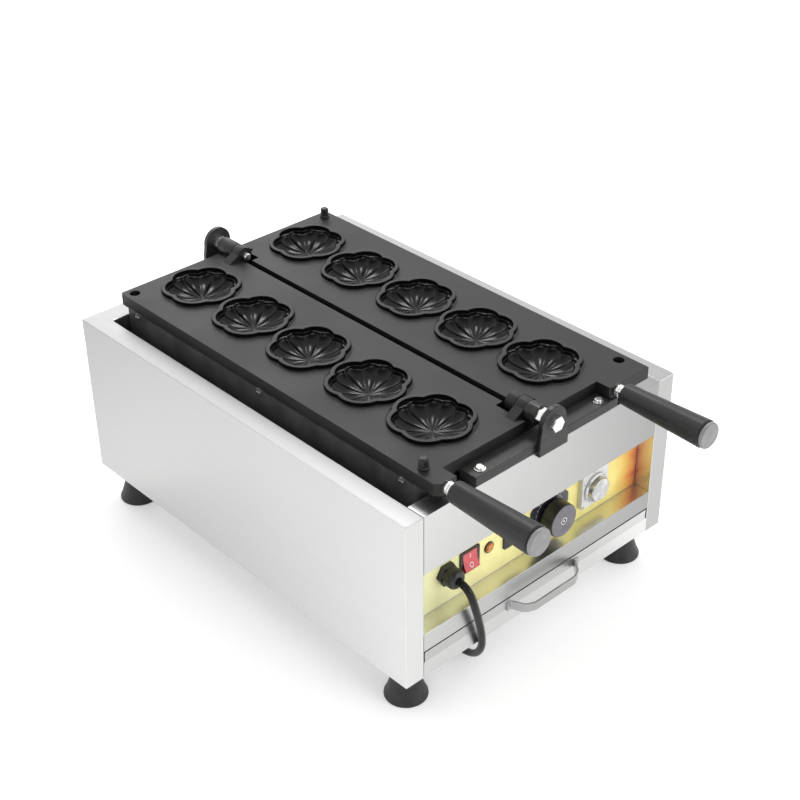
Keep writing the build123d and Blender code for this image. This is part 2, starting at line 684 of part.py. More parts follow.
with BuildPart() as alarm_buzzer:
    with BuildSketch(face(LABEL_Y)):
        with Locations((BUZZER_X, BUZZER_Z)):
            RectangleRounded(28.0, 28.0, 1.5)
    extrude(amount=2.5)
    with BuildSketch(face(LABEL_Y - 1.2)):
        with Locations((BUZZER_X, BUZZER_Z)):
            Circle(1.6)
            with PolarLocations(6.0, 6):
                Circle(1.3)
    extrude(amount=3, mode=Mode.SUBTRACT)
    with BuildSketch(face(LABEL_Y, BUZZER_X, BUZZER_Z)):
        Circle(11.0)
    extrude(amount=-16)

with BuildPart() as thermostat_dial:
    with BuildSketch(face(LABEL_Y)):
        with BuildLine():
            Polyline(*[(THERMO_X + a, THERMO_Z + b) for a, b in
                       ((-30, -13.5), (-13.5, -30), (13.5, -30), (30, -13.5), (30, 13.5), (13.5, 30), (-13.5, 30), (-30, 13.5))],
                     close=True)
        make_face()
        with Locations((THERMO_X, THERMO_Z)):
            Circle(5.0, mode=Mode.SUBTRACT)
    extrude(amount=1.4)

with BuildPart() as thermostat_body:
    with BuildSketch(face(PANEL_Y + T)):
        with Locations((THERMO_X, THERMO_Z)):
            Rectangle(36, 36)
            Circle(3.06, mode=Mode.SUBTRACT)
    extrude(amount=-28)

with BuildPart() as thermostat_knob:
    with BuildSketch(Plane(origin=(THERMO_X, C, THERMO_Z), x_dir=(1, 0, 0), z_dir=(0, 0, -1))):
        with BuildLine():
            Polyline((0, 240.0), (3.0, 240.0), (3.0, 265.4), (20.6, 265.4), (20.6, 267.2), (20.1, 279.8), (19.4, 280.8),
                     (3.2, 280.8), (3.2, 280.0), (0, 280.0), close=True)
        make_face()
    revolve(axis=Axis((THERMO_X, C, THERMO_Z), (0, 1, 0)))

with BuildPart() as timer_dial:
    with BuildSketch(face(LABEL_Y)):
        with Locations((TIMER_X, TIMER_Z)):
            RectangleRounded(43, 46, 2.0)
            Circle(5.0, mode=Mode.SUBTRACT)
    extrude(amount=6.5)
    fillet(timer_dial.faces().sort_by(Axis.Y)[0].outer_wire().edges(), 0.8)

with BuildPart() as timer_body:
    with BuildSketch(face(PANEL_Y + T)):
        with Locations((TIMER_X, TIMER_Z)):
            Rectangle(40, 42)
            Circle(3.06, mode=Mode.SUBTRACT)
    extrude(amount=-42)

with BuildPart() as timer_knob:
    with BuildSketch(Plane(origin=(TIMER_X, C, TIMER_Z), x_dir=(1, 0, 0), z_dir=(0, 0, -1))):
        with BuildLine():
            Polyline((0, 240.0), (3.0, 240.0), (3.0, 265.0), (18.0, 265.0), (18.0, 266.2), (15.2, 267.6), (14.4, 272.4),
                     (13.6, 273.2), (0, 273.2), close=True)
        make_face()
    revolve(axis=Axis((TIMER_X, C, TIMER_Z), (0, 1, 0)))

with BuildPart() as terminal_block:
    with BuildSketch(deck(85)):
        with Locations((-85, -228)):
            Rectangle(52, 20)
    extrude(amount=17)
    with BuildSketch(deck(96)):
        with Locations(*[(-85 + 12 * k, -228) for k in (-1.5, -0.5, 0.5, 1.5)]):
            Rectangle(7, 12)
    extrude(amount=10, mode=Mode.SUBTRACT)

with BuildPart() as gland_body:
    with BuildSketch(face(LABEL_Y, GLAND_X, GLAND_Z)):
        RegularPolygon(12.0, 6, major_radius=False)
    extrude(amount=6.0)
    chamfer(gland_body.faces().sort_by(Axis.Y)[0].outer_wire().edges(), 0.8)
    with BuildSketch(face(LABEL_Y + 12, GLAND_X, GLAND_Z)):
        Circle(8.0)
    extrude(amount=22)
    with BuildSketch(face(PANEL_Y + T, GLAND_X, GLAND_Z)):
        RegularPolygon(11.0, 6, major_radius=False)
    extrude(amount=-5)
    with BuildSketch(face(LABEL_Y + 14, GLAND_X, GLAND_Z)):
        Circle(4.7)
    extrude(amount=30, mode=Mode.SUBTRACT)

with BuildPart() as gland_nut:
    with BuildSketch(Plane(origin=(GLAND_X, C, GLAND_Z), x_dir=(1, 0, 0), z_dir=(0, 0, -1))):
        with BuildLine():
            Polyline((8.1, 264.1), (11.3, 264.1), (11.3, 272.2))
            ThreePointArc((11.3, 272.2), (10.2, 276.0), (7.2, 278.2))
            Polyline((7.2, 278.2), (4.7, 278.2), (4.7, 268.1), (8.1, 268.1), (8.1, 264.1))
        make_face()
    revolve(axis=Axis((GLAND_X, C, GLAND_Z), (0, 1, 0)))
    with BuildSketch(face(-264.0, GLAND_X, GLAND_Z)):
        with PolarLocations(11.7, 18):
            Circle(0.9)
    extrude(amount=8.2, mode=Mode.SUBTRACT)

# =====================================================================
# Mains cord: out of the gland, down in front of the tray, under the
# housing to the rear, and there in a coil with the plug beside it
# =====================================================================
FLOOR = CORD_R + 0.1
COIL_X, COIL_Y, COIL_R = 10.0, 357.0, 45.0
route = [
    (-128.0, -270.0, 144.5),
    (-127.9, -279.5, 144.3),
    (-127.4, -287.6, 141.6),
    (-125.8, -292.6, 134.2),
    (-122.2, -293.9, 121.5),
    (-115.8, -292.8, 103.0),
    (-108.0, -290.2, 81.0),
    (-101.6, -287.6, 58.5),
    (-97.2, -283.0, 38.0),
    (-93.6, -271.0, 19.5),
    (-90.0, -251.0, 8.6),
    (-86.4, -222.0, FLOOR),
    (-81.0, -176.0, FLOOR),
    (-70.0, -96.0, FLOOR),
    (-58.5, 12.0, FLOOR),
    (-51.0, 118.0, FLOOR),
    (-49.5, 214.0, FLOOR),
    (-46.5, 270.0, FLOOR),
    (-42.0, 318.0, FLOOR),
    (COIL_X - 49.6, COIL_Y - 7.0, FLOOR),
]
tail = [
    (COIL_X + 49.4, COIL_Y - 4.0, 13.1),
    (COIL_X + 49.6, COIL_Y - 20.0, 12.2),
    (COIL_X + 54.5, COIL_Y - 37.0, 9.4),
    (COIL_X + 67.0, COIL_Y - 51.0, 8.0),
    (COIL_X + 83.5, COIL_Y - 59.0, 9.8),
    (COIL_X + 101.0, COIL_Y - 61.0, 14.2),
    (COIL_X + 116.0, COIL_Y - 60.2, 17.6),
]


def bend_radii(points):
    """Each arc takes 0.45 of its shorter run."""
    radii = []
    for p, q, r in zip(points, points[1:], points[2:]):
        a = Vector(*q) - Vector(*p)
        b = Vector(*r) - Vector(*q)
        turn = a.get_angle(b)
        radii.append(0.45 * min(a.length, b.length) / math.tan(math.radians(turn / 2)))
    return radii


def cord_path(points):
    pts = [(x, C + y, z) for x, y, z in points]
    return pts, bend_radii(points)


def cord_tube(points):
    pts, radii = cord_path(points)
    with BuildPart() as tube:
        with BuildLine() as path:
            FilletPolyline(*pts, radius=radii)
        d = Vector(*pts[1]) - Vector(*pts[0])
        with BuildSketch(Plane(origin=pts[0], z_dir=d)):
            Circle(CORD_R)
        sweep(path=path.wires()[0])
    length = path.wires()[0].length
    print("cord run length", round(length, 1), "volume ratio",
          round(tube.part.volume / (math.pi * CORD_R ** 2 * length), 4))
    print("  radii", [round(v, 1) for v in radii])
    return tube.part


with BuildPart() as power_cord:
    add(cord_tube(route))

with BuildPart() as cord_tail:
    add(cord_tube(tail))

with BuildPart() as cord_coil:
    with BuildSketch(Plane(origin=(COIL_X, C + COIL_Y, 0), x_dir=(1, 0, 0), z_dir=(0, -1, 0))):
        with Locations((COIL_R, 9.0)):
            RectangleRounded(20.0, 17.8, 6.0)
    revolve(axis=Axis((COIL_X, C + COIL_Y, 0), (0, 0, 1)))

PLUG_X, PLUG_Y, PLUG_Z = COIL_X + 116.0, COIL_Y - 60.2, 17.6
plug_plane = Plane(origin=(PLUG_X, C + PLUG_Y, PLUG_Z), x_dir=(1, 0, 0), z_dir=(0, 0, 1))
with BuildPart() as plug_body:
    with BuildSketch(plug_plane):
        with BuildLine():
            Polyline((0, 0), (0, 5.6), (16, 7.4), (20, 10.5))
            ThreePointArc((20, 10.5), (25, 15.4), (32, 17.4))
            Polyline((32, 17.4), (47, 17.4), (48.5, 16.0), (48.5, 0), (0, 0))
        make_face()
    revolve(axis=Axis((PLUG_X, C + PLUG_Y, PLUG_Z), (1, 0, 0)))

with BuildPart() as plug_pins:
    for s in (-1, 1):
        with BuildSketch(flank(PLUG_X + 48.5, PLUG_Y + 9.5 * s, PLUG_Z)):
            Circle(2.4)
        extrude(amount=19)
    fillet(plug_pins.edges().group_by(Axis.X)[-1], 1.2)

# =====================================================================
# Labels and files
# =====================================================================
pieces = {
    "left_side_panel": left_side_panel, "right_side_panel": right_side_panel, "rear_panel": rear_panel,
    "front_panel": front_panel, "base_plate": base_plate, "compartment_shield": compartment_shield,
    "tray_runners": tray_runners, "rubber_feet": rubber_feet, "foot_screws": foot_screws,
    "front_rail": front_rail, "rear_rail": rear_rail, "rail_screws": rail_screws,
    "front_hinge_ear": front_hinge_ear, "rear_hinge_ear": rear_hinge_ear, "hinge_bolts": hinge_bolts,
    "hinge_spacers": hinge_spacers, "hinge_nuts": hinge_nuts,
    "left_mould_plate": left_mould_plate, "right_mould_plate": right_mould_plate,
    "left_locating_pin": left_locating_pin, "right_locating_pin": right_locating_pin,
    "left_heater_cover": left_heater_cover, "right_heater_cover": right_heater_cover,
    "left_insulation_pad": left_insulation_pad, "right_insulation_pad": right_insulation_pad,
    "left_heating_element": left_heating_element, "right_heating_element": right_heating_element,
    "left_heater_clamps": left_heater_clamps, "right_heater_clamps": right_heater_clamps,
    "left_cover_screws": left_cover_screws, "right_cover_screws": right_cover_screws,
    "left_handle_rod": left_handle_rod, "right_handle_rod": right_handle_rod,
    "left_handle_ferrule": left_handle_ferrule, "right_handle_ferrule": right_handle_ferrule,
    "left_handle_grip": left_handle_grip, "right_handle_grip": right_handle_grip,
    "left_handle_cap": left_handle_cap, "right_handle_cap": right_handle_cap,
    "crumb_tray": crumb_tray, "tray_handle": tray_handle,
    "control_label": control_label, "switch_frame": switch_frame, "power_rocker": power_rocker,
    "indicator_lamp": indicator_lamp, "alarm_buzzer": alarm_buzzer,
    "thermostat_dial": thermostat_dial, "thermostat_body": thermostat_body, "thermostat_knob": thermostat_knob,
    "timer_dial": timer_dial, "timer_body": timer_body, "timer_knob": timer_knob,
    "terminal_block": terminal_block, "gland_body": gland_body, "gland_nut": gland_nut,
    "power_cord": power_cord, "cord_coil": cord_coil, "cord_tail": cord_tail,
    "plug_body": plug_body, "plug_pins": plug_pins,
}
for name, builder in pieces.items():
    builder.part.label = name
    export_step(builder.part, f"parts/{name}.step")
print(len(pieces), "pieces")
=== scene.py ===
import math

import bmesh
import bpy
import numpy as np
from mathutils import Matrix, Vector


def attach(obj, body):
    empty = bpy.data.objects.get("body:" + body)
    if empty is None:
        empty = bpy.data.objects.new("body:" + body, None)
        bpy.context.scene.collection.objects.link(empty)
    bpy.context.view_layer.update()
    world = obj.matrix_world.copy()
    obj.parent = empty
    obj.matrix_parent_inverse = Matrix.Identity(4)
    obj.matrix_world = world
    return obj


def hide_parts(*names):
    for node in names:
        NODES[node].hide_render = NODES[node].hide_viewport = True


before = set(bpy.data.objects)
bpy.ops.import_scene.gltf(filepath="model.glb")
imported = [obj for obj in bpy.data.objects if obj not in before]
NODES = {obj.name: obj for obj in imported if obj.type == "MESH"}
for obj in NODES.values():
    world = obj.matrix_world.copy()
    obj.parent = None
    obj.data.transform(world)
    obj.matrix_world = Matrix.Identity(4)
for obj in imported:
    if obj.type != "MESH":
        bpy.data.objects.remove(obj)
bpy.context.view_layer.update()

SCENE = bpy.context.scene
SCENE.view_settings.view_transform = "Standard"
SCENE.view_settings.look = "None"

MM = 0.001
C = 55.25                      # housing centre behind the origin, mm
PY = 1.25
PZ0, PZ1, RIM_Z = 266.5, 281.0, 285.4
HINGE_Z = 285.6
CAV_X, CAV_Y, CAV_STEP = 82.3, 7.4, 98.7


def P(x, y, z):
    """Point given from the housing's centre in mm, in the row frame in metres."""
    return Vector((x * MM, (y + C) * MM, z * MM))


# ---------------------------------------------------------------------
# Camera, light, floor
# ---------------------------------------------------------------------
cam_data = bpy.data.cameras.new("camera")
cam_data.sensor_width = 36.0
cam_data.sensor_fit = "HORIZONTAL"
cam_data.lens = 68.77
cam_data.clip_start = 0.05
cam_data.clip_end = 50
camera = bpy.data.objects.new("camera", cam_data)
camera.location = P(-997.57, -1134.21, 1152.40)
camera.rotation_euler = (math.radians(57.2144), math.radians(0.4856), math.radians(-42.9896))
SCENE.collection.objects.link(camera)
SCENE.camera = camera


def area(name, loc, target, size, power, color=(1, 1, 1), size_y=None):
    d = bpy.data.lights.new(name, "AREA")
    d.shape = "RECTANGLE"
    d.size = size
    d.size_y = size_y or size
    d.energy = power
    d.color = color
    o = bpy.data.objects.new(name, d)
    o.location = loc
    o.rotation_euler = (Vector(target) - Vector(loc)).to_track_quat("-Z", "Y").to_euler()
    SCENE.collection.objects.link(o)
    return o


area("key_back", (0.95, 1.05, 2.2), (0, 0, 0.2), 0.55, 13)
area("front_left", (-2.2, -1.3, 1.5), (0, 0, 0.15), 1.6, 12)
area("front_right", (0.6, -2.4, 1.0), (0, 0, 0.13), 1.4, 14)
area("back_strip", (0.9, 2.6, 1.5), (0, 0, 0.25), 2.0, 12, size_y=0.9)

# white surroundings, dimmer on the side that the front left faces
world = bpy.data.worlds.new("world")
SCENE.world = world
world.use_nodes = True
wt = world.node_tree
wc = wt.nodes.new("ShaderNodeTexCoord")
wn = wt.nodes.new("ShaderNodeVectorMath")
wn.operation = "NORMALIZE"
wt.links.new(wc.outputs["Generated"], wn.inputs[0])
wd = wt.nodes.new("ShaderNodeVectorMath")
wd.operation = "DOT_PRODUCT"
wd.inputs[1].default_value = (-0.60, -0.66, 0.45)
wt.links.new(wn.outputs["Vector"], wd.inputs[0])
wm = wt.nodes.new("ShaderNodeMapRange")
wm.interpolation_type = "SMOOTHSTEP"
wm.inputs["From Min"].default_value = 0.30
wm.inputs["From Max"].default_value = 0.85
wm.inputs["To Min"].default_value = 1.25
wm.inputs["To Max"].default_value = 0.34
wt.links.new(wd.outputs["Value"], wm.inputs["Value"])
wt.nodes["Background"].inputs["Color"].default_value = (1.0, 1.0, 1.0, 1)
wt.links.new(wm.outputs["Result"], wt.nodes["Background"].inputs["Strength"])

floor_mesh = bpy.data.meshes.new("floor")
floor_mesh.from_pydata([(-9, -9, 0), (9, -9, 0), (9, 9, 0), (-9, 9, 0)], [], [(0, 1, 2, 3)])
floor = bpy.data.objects.new("floor", floor_mesh)
SCENE.collection.objects.link(floor)


# ---------------------------------------------------------------------
# Materials
# ---------------------------------------------------------------------
def material(name, color, rough, metal=0.0, spec=0.5, coat=0.0, coat_rough=0.1, sheen=0.0, emit=None):
    m = bpy.data.materials.new(name)
    m.use_nodes = True
    b = m.node_tree.nodes["Principled BSDF"]
    b.inputs["Base Color"].default_value = (*color, 1)
    b.inputs["Roughness"].default_value = rough
    b.inputs["Metallic"].default_value = metal
    b.inputs["Specular IOR Level"].default_value = spec
    b.inputs["Coat Weight"].default_value = coat
    b.inputs["Coat Roughness"].default_value = coat_rough
    b.inputs["Sheen Weight"].default_value = sheen
    if emit:
        b.inputs["Emission Color"].default_value = (*emit[0], 1)
        b.inputs["Emission Strength"].default_value = emit[1]
    return m


def coords(m, scale=(1, 1, 1), rotation=(0, 0, 0)):
    t = m.node_tree
    tc = t.nodes.new("ShaderNodeTexCoord")
    mp = t.nodes.new("ShaderNodeMapping")
    mp.inputs["Scale"].default_value = scale
    mp.inputs["Rotation"].default_value = rotation
    t.links.new(tc.outputs["Object"], mp.inputs["Vector"])
    return mp.outputs["Vector"]


def noise(m, scale, detail=3.0, rough=0.5, stretch=(1, 1, 1)):
    t = m.node_tree
    n = t.nodes.new("ShaderNodeTexNoise")
    n.inputs["Scale"].default_value = scale
    n.inputs["Detail"].default_value = detail
    n.inputs["Roughness"].default_value = rough
    t.links.new(coords(m, stretch), n.inputs["Vector"])
    return n.outputs["Fac"]


def ramp(m, fac, stops, interpolation="LINEAR"):
    t = m.node_tree
    r = t.nodes.new("ShaderNodeValToRGB")
    r.color_ramp.interpolation = interpolation
    while len(r.color_ramp.elements) < len(stops):
        r.color_ramp.elements.new(0.5)
    for e, (p, c) in zip(r.color_ramp.elements, stops):
        e.position = p
        e.color = (*c, 1) if len(c) == 3 else c
    t.links.new(fac, r.inputs["Fac"])
    return r.outputs["Color"]


def spread(m, fac, lo, hi):
    """Map a 0.3-0.7 noise to lo-hi."""
    t = m.node_tree
    r = t.nodes.new("ShaderNodeMapRange")
    r.inputs["From Min"].default_value = 0.3
    r.inputs["From Max"].default_value = 0.7
    r.inputs["To Min"].default_value = lo
    r.inputs["To Max"].default_value = hi
    t.links.new(fac, r.inputs["Value"])
    return r.outputs["Result"]


def surface(m, bumps, soft_edge=0.0):
    """bumps: (height output, strength, distance in metres); soft_edge rounds sharp edges' shading."""
    t = m.node_tree
    b = t.nodes["Principled BSDF"]
    last = None
    if soft_edge:
        bev = t.nodes.new("ShaderNodeBevel")
        bev.samples = 4
        bev.inputs["Radius"].default_value = soft_edge
        last = bev.outputs["Normal"]
    for h, strength, distance in bumps:
        n = t.nodes.new("ShaderNodeBump")
        n.inputs["Strength"].default_value = strength
        n.inputs["Distance"].default_value = distance
        t.links.new(h, n.inputs["Height"])
        if last:
            t.links.new(last, n.inputs["Normal"])
        last = n.outputs["Normal"]
    if last:
        t.links.new(last, b.inputs["Normal"])


def connect(m, output, socket):
    m.node_tree.links.new(output, m.node_tree.nodes["Principled BSDF"].inputs[socket])


def steel(name, along, base=(0.68, 0.68, 0.675), rough=(0.28, 0.36), streak=0.025, painted_shade_falls=()):
    """Brushed sheet; along is the axis that the grain follows; each entry of the last argument darkens the base colour
    towards one end of an axis, painted shade standing in for light falling off across the sheet.
    """
    m = material(name, base, 0.33, metal=1.0)
    st = [520.0, 520.0, 520.0]
    st["xyz".index(along)] = 5.0
    fine = noise(m, 1.0, 4.0, 0.6, tuple(st))
    wide = noise(m, 3.0, 2.0, 0.5, (1, 1, 1))
    connect(m, spread(m, fine, rough[0], rough[1]), "Roughness")
    lo = tuple(c * (1 - streak) for c in base)
    hi = tuple(min(1.0, c * (1 + streak * 0.5)) for c in base)
    t = m.node_tree
    mix = t.nodes.new("ShaderNodeMix")
    mix.data_type = "RGBA"
    mix.blend_type = "MULTIPLY"
    mix.inputs["Factor"].default_value = 1.0
    t.links.new(ramp(m, fine, [(0.30, lo), (0.70, hi)]), mix.inputs["A"])
    t.links.new(ramp(m, wide, [(0.30, (0.965, 0.965, 0.97)), (0.70, (1, 1, 1))]), mix.inputs["B"])
    out = mix.outputs["Result"]
    for axis, start, end, amount in painted_shade_falls:
        # painted shade: base colour darker towards one end, standing in for light falling off across the sheet
        tc = t.nodes.new("ShaderNodeTexCoord")
        sep = t.nodes.new("ShaderNodeSeparateXYZ")
        t.links.new(tc.outputs["Object"], sep.inputs["Vector"])
        mr = t.nodes.new("ShaderNodeMapRange")
        mr.inputs["From Min"].default_value = start
        mr.inputs["From Max"].default_value = end
        t.links.new(sep.outputs[axis], mr.inputs["Value"])
        mul = t.nodes.new("ShaderNodeMix")
        mul.data_type = "RGBA"
        mul.blend_type = "MULTIPLY"
        mul.inputs["Factor"].default_value = 1.0
        t.links.new(out, mul.inputs["A"])
        t.links.new(ramp(m, mr.outputs["Result"], [(0.0, (1, 1, 1)), (1.0, (1 - amount,) * 3)]), mul.inputs["B"])
        out = mul.outputs["Result"]
    connect(m, out, "Base Color")
    surface(m, [(fine, 0.03, 0.0002)], soft_edge=0.0005)
    return m


def rings(m, x, z, pitch):
    """Concentric grooves round an axis along Y through x, z (housing mm)."""
    t = m.node_tree
    tc = t.nodes.new("ShaderNodeTexCoord")
    mp = t.nodes.new("ShaderNodeMapping")
    mp.inputs["Location"].default_value = (-x * MM, 0, -z * MM)
    mp.inputs["Scale"].default_value = (1, 0, 1)
    t.links.new(tc.outputs["Object"], mp.inputs["Vector"])
    ln = t.nodes.new("ShaderNodeVectorMath")
    ln.operation = "LENGTH"
    t.links.new(mp.outputs["Vector"], ln.inputs[0])
    mu = t.nodes.new("ShaderNodeMath")
    mu.operation = "MULTIPLY"
    mu.inputs[1].default_value = 2 * math.pi / (pitch * MM)
    t.links.new(ln.outputs["Value"], mu.inputs[0])
    si = t.nodes.new("ShaderNodeMath")
    si.operation = "SINE"
    t.links.new(mu.outputs[0], si.inputs[0])
    return si.outputs[0]


M = {}
M["floor"] = material("floor_paper", (0.93, 0.93, 0.93), 0.75, spec=0.2, emit=((1, 1, 1), 0.28))
surface(M["floor"], [(noise(M["floor"], 60, 2), 0.02, 0.001)])
# painted shade: the side panels' base colour darkens towards the rear and towards the top, standing in for the light
# across them
M["steel_y"] = steel("steel_grain_y", "y", base=(0.80, 0.80, 0.795),
                     painted_shade_falls=(("Y", -0.24, 0.34, 0.38), ("Z", 0.06, 0.25, 0.20)))
M["steel_x"] = steel("steel_grain_x", "x")
# painted shade: a much darker copy of the brushed steel for the panels' upward-facing top strips, holding down the
# light they catch from above
M["steel_top_painted_shade"] = steel("steel_top_strip", "y", base=(0.36, 0.36, 0.357), rough=(0.36, 0.44))
M["steel_edge"] = steel("steel_flange", "z", base=(0.42, 0.42, 0.417))
# painted shade: the front panel's base colour darkens towards its right end, standing in for the light across it
M["steel_front"] = steel("steel_front", "x", base=(0.64, 0.64, 0.635), painted_shade_falls=(("X", -0.20, 0.20, 0.55),))
M["steel_handle"] = steel("steel_handle", "x", base=(0.44, 0.44, 0.44), rough=(0.16, 0.26))
M["steel_tray"] = steel("steel_tray", "x", base=(0.56, 0.56, 0.555))
m = M["steel_polished"] = material("steel_niche", (0.58, 0.57, 0.53), 0.30, metal=1.0)
c = noise(m, 14, 2)
connect(m, spread(m, c, 0.25, 0.34), "Roughness")
connect(m, ramp(m, c, [(0.3, (0.68, 0.67, 0.63)), (0.7, (0.80, 0.79, 0.75))]), "Base Color")
surface(m, [(noise(m, 30, 2), 0.03, 0.0004)], soft_edge=0.0005)

# baking plates: dark non-stick coating over cast metal
m = M["iron"] = material("coated_iron", (0.016, 0.016, 0.017), 0.48, spec=0.33)
grain = noise(m, 900, 3, 0.6)
cloud = noise(m, 11, 3, 0.5)
connect(m, spread(m, cloud, 0.42, 0.54), "Roughness")
connect(m, ramp(m, cloud, [(0.3, (0.008, 0.008, 0.009)), (0.7, (0.013, 0.013, 0.014))]), "Base Color")
surface(m, [(grain, 0.12, 0.0001)], soft_edge=0.0006)

# the cavities' coating, glossier as if polished by use, with a far darker base colour than the plate top: painted shade
# for the dark that the deep cavity walls reflect; the lip and the flanks of the rims follow
m = M["cavity"] = material("cavity_coating_painted_shade", (0.002, 0.002, 0.002), 0.20, spec=0.20)
cloud = noise(m, 120, 3, 0.55)
connect(m, spread(m, cloud, 0.16, 0.26), "Roughness")
surface(m, [(cloud, 0.05, 0.0003)])
# the cavity lip: the same painted-shade dark base colour, made glossier so the lamps put highlights on it
m = M["lip"] = material("cavity_lip", (0.003, 0.003, 0.003), 0.18, spec=0.65)
connect(m, spread(m, noise(m, 150, 3, 0.55), 0.14, 0.24), "Roughness")
surface(m, [(noise(m, 400, 3, 0.6), 0.05, 0.0001)])
# the rims' flanks and inner walls: near-black base colour and weak specular, painted shade for walls that face away
# from the light
m = M["rim"] = material("rim_flank_painted_shade", (0.002, 0.002, 0.002), 0.5, spec=0.05)
cloud = noise(m, 70, 3, 0.55)
connect(m, spread(m, cloud, 0.42, 0.58), "Roughness")
surface(m, [(noise(m, 700, 3, 0.6), 0.12, 0.0001)])

m = M["cover"] = material("cover_enamel", (0.022, 0.022, 0.024), 0.36, spec=0.5)
c = noise(m, 40, 3)
connect(m, spread(m, c, 0.28, 0.48), "Roughness")
connect(m, ramp(m, c, [(0.3, (0.054, 0.054, 0.055)), (0.7, (0.084, 0.084, 0.086))]), "Base Color")
surface(m, [(noise(m, 700, 2), 0.12, 0.0001)], soft_edge=0.0005)

m = M["edge_metal"] = material("bare_edge", (0.22, 0.22, 0.22), 0.32, metal=0.9)
c = noise(m, 90, 3)
connect(m, ramp(m, c, [(0.3, (0.12, 0.12, 0.12)), (0.7, (0.34, 0.34, 0.34))]), "Base Color")
surface(m, [(noise(m, 600, 2), 0.06, 0.0001)])

m = M["rail"] = material("rail_black", (0.025, 0.025, 0.026), 0.45, spec=0.5)
c = noise(m, 60, 4)
connect(m, ramp(m, c, [(0.3, (0.016, 0.016, 0.017)), (0.7, (0.042, 0.042, 0.044))]), "Base Color")
surface(m, [(noise(m, 800, 2), 0.15, 0.0001)], soft_edge=0.0006)

m = M["ear"] = material("ear_grey", (0.20, 0.20, 0.21), 0.38, metal=0.85)
c = noise(m, 1.0, 3, 0.6, (40, 40, 420))
connect(m, ramp(m, c, [(0.3, (0.032, 0.032, 0.034)), (0.7, (0.062, 0.062, 0.065))]), "Base Color")
connect(m, spread(m, c, 0.30, 0.46), "Roughness")
surface(m, [(c, 0.08, 0.0002)], soft_edge=0.0008)

m = M["zinc"] = material("bright_zinc", (0.72, 0.72, 0.70), 0.24, metal=1.0)
c = noise(m, 160, 3)
connect(m, spread(m, c, 0.16, 0.34), "Roughness")
connect(m, ramp(m, c, [(0.3, (0.66, 0.66, 0.64)), (0.7, (0.86, 0.86, 0.84))]), "Base Color")
surface(m, [(noise(m, 500, 2), 0.06, 0.0001)], soft_edge=0.0005)

m = M["black_steel"] = material("black_oxide", (0.018, 0.018, 0.019), 0.32, spec=0.3)
c = noise(m, 220, 3)
connect(m, ramp(m, c, [(0.3, (0.012, 0.012, 0.013)), (0.7, (0.030, 0.030, 0.032))]), "Base Color")
connect(m, spread(m, c, 0.24, 0.42), "Roughness")
surface(m, [(noise(m, 900, 2), 0.1, 0.0001)], soft_edge=0.0006)

m = M["grip"] = material("grip_plastic", (0.034, 0.034, 0.036), 0.40, spec=0.30)
c = noise(m, 1.0, 3, 0.5, (260, 22, 260))
connect(m, ramp(m, c, [(0.3, (0.014, 0.014, 0.015)), (0.7, (0.026, 0.026, 0.027))]), "Base Color")
connect(m, spread(m, c, 0.34, 0.48), "Roughness")
surface(m, [(noise(m, 900, 2), 0.14, 0.0001), (c, 0.10, 0.0002)])

m = M["cap"] = material("cap_plastic", (0.17, 0.17, 0.18), 0.45, spec=0.5)
c = noise(m, 120, 3)
connect(m, ramp(m, c, [(0.3, (0.20, 0.20, 0.205)), (0.7, (0.26, 0.26, 0.265))]), "Base Color")
surface(m, [(noise(m, 800, 2), 0.10, 0.0001)], soft_edge=0.0005)

m = M["rubber"] = material("foot_rubber", (0.016, 0.016, 0.016), 0.50, spec=0.45)
c = noise(m, 90, 4)
connect(m, ramp(m, c, [(0.3, (0.011, 0.011, 0.011)), (0.7, (0.026, 0.026, 0.026))]), "Base Color")
connect(m, spread(m, c, 0.40, 0.60), "Roughness")
surface(m, [(noise(m, 600, 3), 0.20, 0.0002)], soft_edge=0.001)

m = M["black_plastic"] = material("black_plastic", (0.012, 0.012, 0.012), 0.34, spec=0.5)
c = noise(m, 300, 3)
connect(m, ramp(m, c, [(0.3, (0.009, 0.009, 0.009)), (0.7, (0.018, 0.018, 0.018))]), "Base Color")
connect(m, spread(m, c, 0.26, 0.42), "Roughness")
surface(m, [(noise(m, 1200, 2), 0.08, 0.00006)], soft_edge=0.0004)

m = M["dial_black"] = material("dial_black", (0.030, 0.030, 0.042), 0.22, spec=0.5)
c = noise(m, 200, 3)
connect(m, ramp(m, c, [(0.3, (0.020, 0.020, 0.030)), (0.7, (0.045, 0.045, 0.060))]), "Base Color")
surface(m, [(noise(m, 900, 2), 0.05, 0.00005)], soft_edge=0.0004)

m = M["white_print"] = material("white_print", (0.80, 0.80, 0.80), 0.5)
surface(m, [(noise(m, 900, 2), 0.05, 0.00004)])
m = M["dark_print"] = material("dark_print", (0.05, 0.05, 0.055), 0.5)
surface(m, [(noise(m, 900, 2), 0.05, 0.00004)])

m = M["rocker_red"] = material("rocker_red", (0.60, 0.045, 0.06), 0.20, spec=0.5, coat=0.3)
c = noise(m, 120, 2)
connect(m, ramp(m, c, [(0.3, (0.56, 0.045, 0.06)), (0.7, (0.68, 0.08, 0.095))]), "Base Color")
surface(m, [(noise(m, 500, 2), 0.03, 0.0001)], soft_edge=0.0005)
m = M["rocker_side"] = material("rocker_side", (0.16, 0.008, 0.012), 0.30)
surface(m, [(noise(m, 500, 2), 0.03, 0.0001)], soft_edge=0.0004)

m = M["lamp"] = material("lamp_orange", (0.85, 0.30, 0.02), 0.15, spec=0.5, coat=0.5, emit=((1.0, 0.35, 0.02), 0.05))
c = noise(m, 260, 2)
connect(m, ramp(m, c, [(0.3, (0.42, 0.14, 0.012)), (0.7, (0.60, 0.23, 0.02))]), "Base Color")
surface(m, [(c, 0.05, 0.0002)], soft_edge=0.0004)

